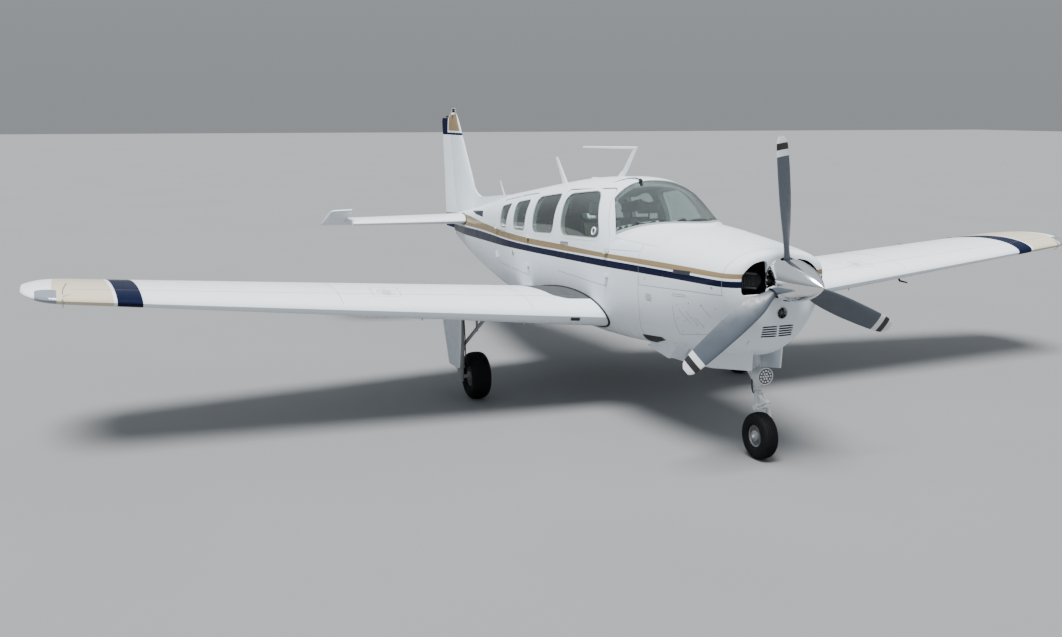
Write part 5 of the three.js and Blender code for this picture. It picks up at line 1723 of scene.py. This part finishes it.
def make_seats():
    pads = unit_pads()
    for name, x, y, facing, size, width, node in SEATS:
        foot = Matrix.Translation((x, y, FLOOR_TOP + PLAY))
        base = seat_frame(width / 2 - 0.03)
        base.data.transform(foot @ Matrix.Diagonal((size * facing, facing, size, 1)))
        dress(base, f"{name}_frame", "panel_plastic", "plastic", node)
        for kind, pad in pads.items():
            piece = copy(pad)
            wide = facing * width / UNIT_WIDTH
            piece.data.transform(foot @ Matrix.Diagonal((size * facing, wide, size, 1)))
            dress(piece, f"{name}_{kind}", "seat_leather", "leather", node, smooth=80)
    for pad in pads.values():
        bpy.data.objects.remove(pad)


PANEL_X = 2.0795
DIAL_YS = (-0.42, -0.34, -0.26, -0.18, 0.18, 0.26, 0.34, 0.42)
DIAL_ZS = (1.46, 1.545)
# The marks round a dial begin at MARK_IN, where the needle ends, and end at MARK_OUT.
MARK_IN, MARK_OUT = 0.024, 0.03
RADIOS = {"count": 5, "low": 1.3, "pitch": 0.06, "high": 0.052, "half": 0.085, "knobs": (-0.07, 0.07)}
YOKE_X = 1.935
YOKE_Y = 0.25
YOKE_Z = 1.43
# The inner half of a yoke's grip, as distances to the side and heights.
GRIP = [(0.125, 1.515), (0.13, 1.46), (0.11, 1.432), (0.05, 1.425)]


def dial(y, z):
    """A dial's ring, its face, and its needle with the marks round it."""
    def spot(proud, out, c, s):
        return PANEL_X - proud, y + out * c, z + out * s

    x, a = PANEL_X, 7 * y + 3 * z
    ring = hoop((x + 0.001, y, z), 0.034, (1, 0, 0), 0.003, 32, 8)
    face = rod((x, y, z), (x + 0.004, y, z), 0.033, sides=32)
    marks = [rod((x - 0.0005, y, z), spot(0.0005, MARK_IN, sin(a), cos(a)), 0.0015, sides=6)]
    marks += [rod(spot(0.0002, MARK_IN, cos(b), sin(b)), spot(0.0002, MARK_OUT, cos(b), sin(b)),
                  0.001, sides=6) for b in angles(10)]
    return ring, face, marks


def make_panel():
    """The instrument panel with dials and radios."""
    space = hull(-CABIN_WALL - PLAY)
    body = common(space, block((2.082, -WIDE, 1.18), (2.15, WIDE, 1.625)))
    dress(body, "panel_body", "panel_plastic", "tan", "instrument_panel")
    rings, faces, needles = [], [], []
    for y in DIAL_YS:
        for z in DIAL_ZS:
            ring, face, marks = dial(y, z)
            rings.append(ring)
            faces.append(face)
            needles += marks
    for k in range(RADIOS["count"]):
        x, z, half = PANEL_X, RADIOS["low"] + RADIOS["pitch"] * k, RADIOS["half"]
        faces.append(block((x - 0.002, -half, z), (x + 0.004, half, z + RADIOS["high"])))
        z += RADIOS["high"] / 2
        needles += [rod((x - 0.012, y, z), (x, y, z), 0.008, sides=16) for y in RADIOS["knobs"]]
    dress(gather(rings), "dial_rings", "panel_plastic", "black")
    dress(gather(faces), "dial_faces", "panel_plastic", "plastic")
    dress(gather(needles), "dial_marks", "panel_plastic", "white")


def make_yokes():
    for name, y in (("right", -YOKE_Y), ("left", YOKE_Y)):
        grip = [(YOKE_X, y - d, z) for d, z in GRIP] + [(YOKE_X, y, YOKE_Z)]
        grip += [(YOKE_X, y + d, z) for d, z in reversed(GRIP)]
        yoke = gather([tube(grip, 0.011, 14), rod((2.085, y, YOKE_Z), (1.93, y, YOKE_Z), 0.011),
                       rod((1.922, y, YOKE_Z), (1.945, y, YOKE_Z), 0.026, sides=24)])
        dress(yoke, f"yoke_{name}", "panel_plastic", "plastic", "instrument_panel")


# Roof and side fittings.

# The mast's foot: how far up, chord and thickness; its front edge at the roof, and how it leans.
MAST_FOOT = [(0.0, 0.17, 0.36), (0.012, 0.14, 0.34), (0.035, 0.112, 0.32), (0.07, 0.1, 0.3)]
MAST_FRONT = 1.15
MAST_LEAN = 0.85
ROOF_TOP = 1.97
# Strips on the doors, each as (points, width, height), and the places of the latch and the vent.
FRONT_HANDLE = [([(1.071, 1.401), (1.223, 1.412)], 0.014, 0.004),
                ([(1.06, 1.398), (1.235, 1.41)], 0.03, 0.0012)]
REAR_HANDLE = ([(-0.62, 1.335), (-0.53, 1.34)], 0.018, 0.004)
LATCH = (-0.203, 1.155)
GLASS_VENT = (1.72, 1.57)
# The outside air probe: a bar along the roof, and the bulb at its end.
PROBE_BAR = [(1.53, -0.3, 1.962), (1.55, -0.255, 1.979), (1.552, -0.2, 1.993), (1.556, -0.13, 2.004),
             (1.6, -0.1, 2.006), (1.68, -0.105, 1.998)]
PROBE_BULB = [(1.66, -0.1, 1.996), (1.79, -0.15, 1.994), [(0, 0.005), (0.3, 0.014), (0.8, 0.016), (1, 0.008)]]


def make_fittings():
    """The mast's foot, puck and air probe on the roof; latch, handles and glass vent on the doors."""
    foot = loft([[(MAST_FRONT + MAST_LEAN * up - u * chord, v * chord, ROOF_TOP + up)
                  for u, v in foil(thick, 0, 0.02, 14)] for up, chord, thick in MAST_FOOT])
    dress(foot, "antenna_foot", "white_paint", "white")
    puck = rod((0.62, -0.03, 1.925), (0.62, -0.03, 1.957), 0.045, 0.035, 32)
    dress(cut(puck, hull(-0.005)), "roof_puck", "white_paint", "white")
    dress(skin_dot(*LATCH, -1, 0.03, 0.006, 32), "cabin_latch", "gear_steel", "steel")
    handle = gather([skin_strip(points, -1, *size) for points, *size in FRONT_HANDLE])
    dress(handle, "front_door_handle", "gear_steel", "steel", body="front_door")
    points, *size = REAR_HANDLE
    dress(skin_strip(points, -1, *size), "rear_door_handle", "gear_steel", "steel", body="cargo_door_rear")
    centre, normal = on_skin(*GLASS_VENT, -1), skin_normal(*GLASS_VENT, -1)
    ring = hoop(centre + normal * 0.002, 0.03, normal, 0.006, 32)
    dress(ring, "door_glass_vent", "white_paint", "white", body="front_door")
    probe = join(tube(PROBE_BAR, 0.0045), turned_along(*PROBE_BULB))
    dress(probe, "air_probe", "gear_steel", "seal")


# Wing fittings.

FUEL_CAP = {"x": 1.545, "y": 2.36, "radius": 0.045}
# Lines on the wing's upper side, as (y, part of the chord): seams, and the panel round the fuel cap.
WING_SEAMS = [
    [(1.18, 0.012), (1.18, 0.66)],
    [(FLAP_END_Y + 0.01, 0.02), (FLAP_END_Y + 0.01, 0.72)],
    [(0.7, 0.15), (4.75, 0.15)],
    [(0.7, 0.62), (4.7, 0.62)],
    [(2.22, 0.3), (2.46, 0.29), (2.49, 0.11), (2.26, 0.115), (2.22, 0.3)],
]
DRAIN_YS = (1.24, 2.12)
WICK_YS = (3.2, 3.9, 4.5)
TIP_ROD_Y = 4.81
# The probe under the port wing: its foot as (y, part of the chord), its path from there and radii.
PROBE_FOOT = (3.02, 0.27)
PROBE_PATH = [(0, 0, 0.01), (0, 0, -0.06), (0.02, 0, -0.085), (0.13, 0, -0.088)]
PROBE_RADII = [0.014, 0.012, 0.01, 0.007]
# The non-slip walkway and the lamp cover in the tip, as (x, y).
WALKWAY = [(0.3, -0.5), (1.7, -0.5), (1.7, -0.8), (1.6, -0.9), (1.25, -0.93), (0.3, -0.93)]
LAMP_COVER = [(1.57, -4.85), (1.8, -4.85), (1.8, -5.0), (1.52, -5.0)]
WALKWAY_PROUD = (0.0004, 0, 0.0009)
COVER_PROUD = 0.0012


def wing_line(points, width=0.003, height=0.0004):
    """A thin line over the wing's upper side along (y, part of the chord) points."""
    return sweep([wing_side(p.x, p.y, 1) for p in fine(points, 0.02)], width, height)


def fuel_cap():
    y, radius = FUEL_CAP["y"], FUEL_CAP["radius"]
    u = 0.25 - (FUEL_CAP["x"] - QUARTER_X) / wing_chord(y)
    centre = wing_side(y, u, 1)
    ahead = (wing_side(y, u - 0.02, 1) - centre).normalized()
    out = (wing_side(y + 0.05, u, 1) - centre).normalized()
    normal = ahead.cross(out)
    normal *= copysign(1, normal.z)
    top = centre + normal * 0.002
    return [rod(centre - normal * 0.01, top, radius, radius * 0.96, 48),
            hoop(centre + normal * 0.0006, radius * 1.75, normal, 0.0022, 64, 6),
            sweep([top - out * radius * 0.7, top + out * radius * 0.7], 0.014, 0.003, normal)]


def root_seal():
    """A rubber strip in the corner between the fuselage and the wing, round the wing's nose."""
    path = []
    for k in range(61):
        t = 1 - k / 60 * 1.55
        u, way, y = abs(t) ** 2 * 0.74, 1 if t >= 0 else -1, 0.595
        for _ in range(6):  # back and forth between both surfaces until they meet
            p = wing_side(y, u, way)
            y = -on_skin(p.x, p.z, -1).y + 0.002
        path.append(wing_side(y, u, way))
    return tube(path, 0.011, 10)


def walkway():
    wing = wing_body(0.3, 1.6, 12)
    lifted = copy(wing)
    lifted.data.transform(Matrix.Translation(WALKWAY_PROUD))
    return cut(common(cut(lifted, wing), prism("z", rounded(WALKWAY, 0.05), 0.86, 1.3)), hull(0.0))


def sight_rod():
    """A thin rod over the wing tip's front edge, by which its lamp is seen from the cabin."""
    y = TIP_ROD_Y
    top = wing_side(y, 0.03, 1)
    return tube([wing_point(y, 0.035, -0.045), wing_point(y, 0.0, -0.012) + Vector((0.006, 0, 0)),
                 wing_point(y, 0.0, 0.012) + Vector((0.005, 0, 0)), top + Vector((0.004, 0, 0.012)),
                 top + Vector((0, 0.01, 0.055)), top + Vector((0, 0.036, 0.095))], 0.0035, 10)


def make_wing_fittings():
    drains = [tube([wing_side(y, 0.05, -1), wing_side(y, 0.05, -1) + Vector((-0.01, 0, -0.018))], 0.006)
              for y in DRAIN_YS]
    # The air inlet near the root is a black strip on the leading edge: painted shade of its opening.
    inlet = sweep([wing_point(y, 0.0, -0.012) for y in (0.86, 0.78)], 0.026, 0.003, (1, -0.35, -0.2))
    dress_pair(gather(fuel_cap()), "fuel_cap", "gear_steel", "alloy")
    dress_pair(gather([wing_line(points) for points in WING_SEAMS]), "wing_seams", "white_surface", "seam")
    dress_pair(gather(drains), "wing_drains", "gear_steel", "steel")
    dress_pair(inlet, "wing_inlet_shade", "panel_plastic", "black")
    dress_pair(root_seal(), "wing_root_seal", "tyre", "seal")
    dress(walkway(), "wing_walkway", "white_surface", "grit")
    cover = common(wing_tip(COVER_PROUD), prism("z", rounded(LAMP_COVER, 0.02), 1.0, 1.5))
    dress_pair(cover, "nav_lens", "panel_plastic", "cover")
    foot = wing_side(*PROBE_FOOT, -1)
    probe = mirrored(tube([foot + Vector(p) for p in PROBE_PATH], PROBE_RADII))
    dress(probe, "air_speed_probe", "gear_steel", "black")
    dress_pair(sight_rod(), "tip_sight_rod", "gear_steel", "steel")
    ends = [wing_point(y, 1.0, 0.0) for y in WICK_YS]
    wicks = [rod(end + Vector((0.01, 0, 0)), end + Vector((-0.11, 0, -0.004)), 0.002, sides=8)
             for end in ends]
    dress_pair(gather(wicks), "static_wicks", "panel_plastic", "black", body="aileron")


# CAD nodes that show as they are, with their looks.
PLAIN_NODES = [("firewall", "alloy"), ("aft_bulkhead", "liner"), ("engine_block", "black"),
               ("nose_door_right", "white"), ("nose_door_left", "white"), ("antenna_mast", "white")]


def colour_plain_nodes():
    for name, look in PLAIN_NODES:
        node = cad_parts[name]
        node.data.materials.clear()
        node.data.materials.append(LOOKS[look])


add_camera()
add_floor()
add_sky()
add_sun()
make_looks()
outer_shape = fuselage(0.0)
make_cabin(outer_shape)
make_wings(outer_shape)
make_tail(outer_shape)
bpy.data.objects.remove(outer_shape)
make_cowling()
make_propeller()
make_nose_leg()
make_lamp()
make_fork()
wheel(NOSE_AXLE_X, 0, NOSE_WHEEL, "nose", "nose_wheel")
make_main_gear()
make_seats()
make_panel()
make_yokes()
make_fittings()
make_wing_fittings()
colour_plain_nodes()
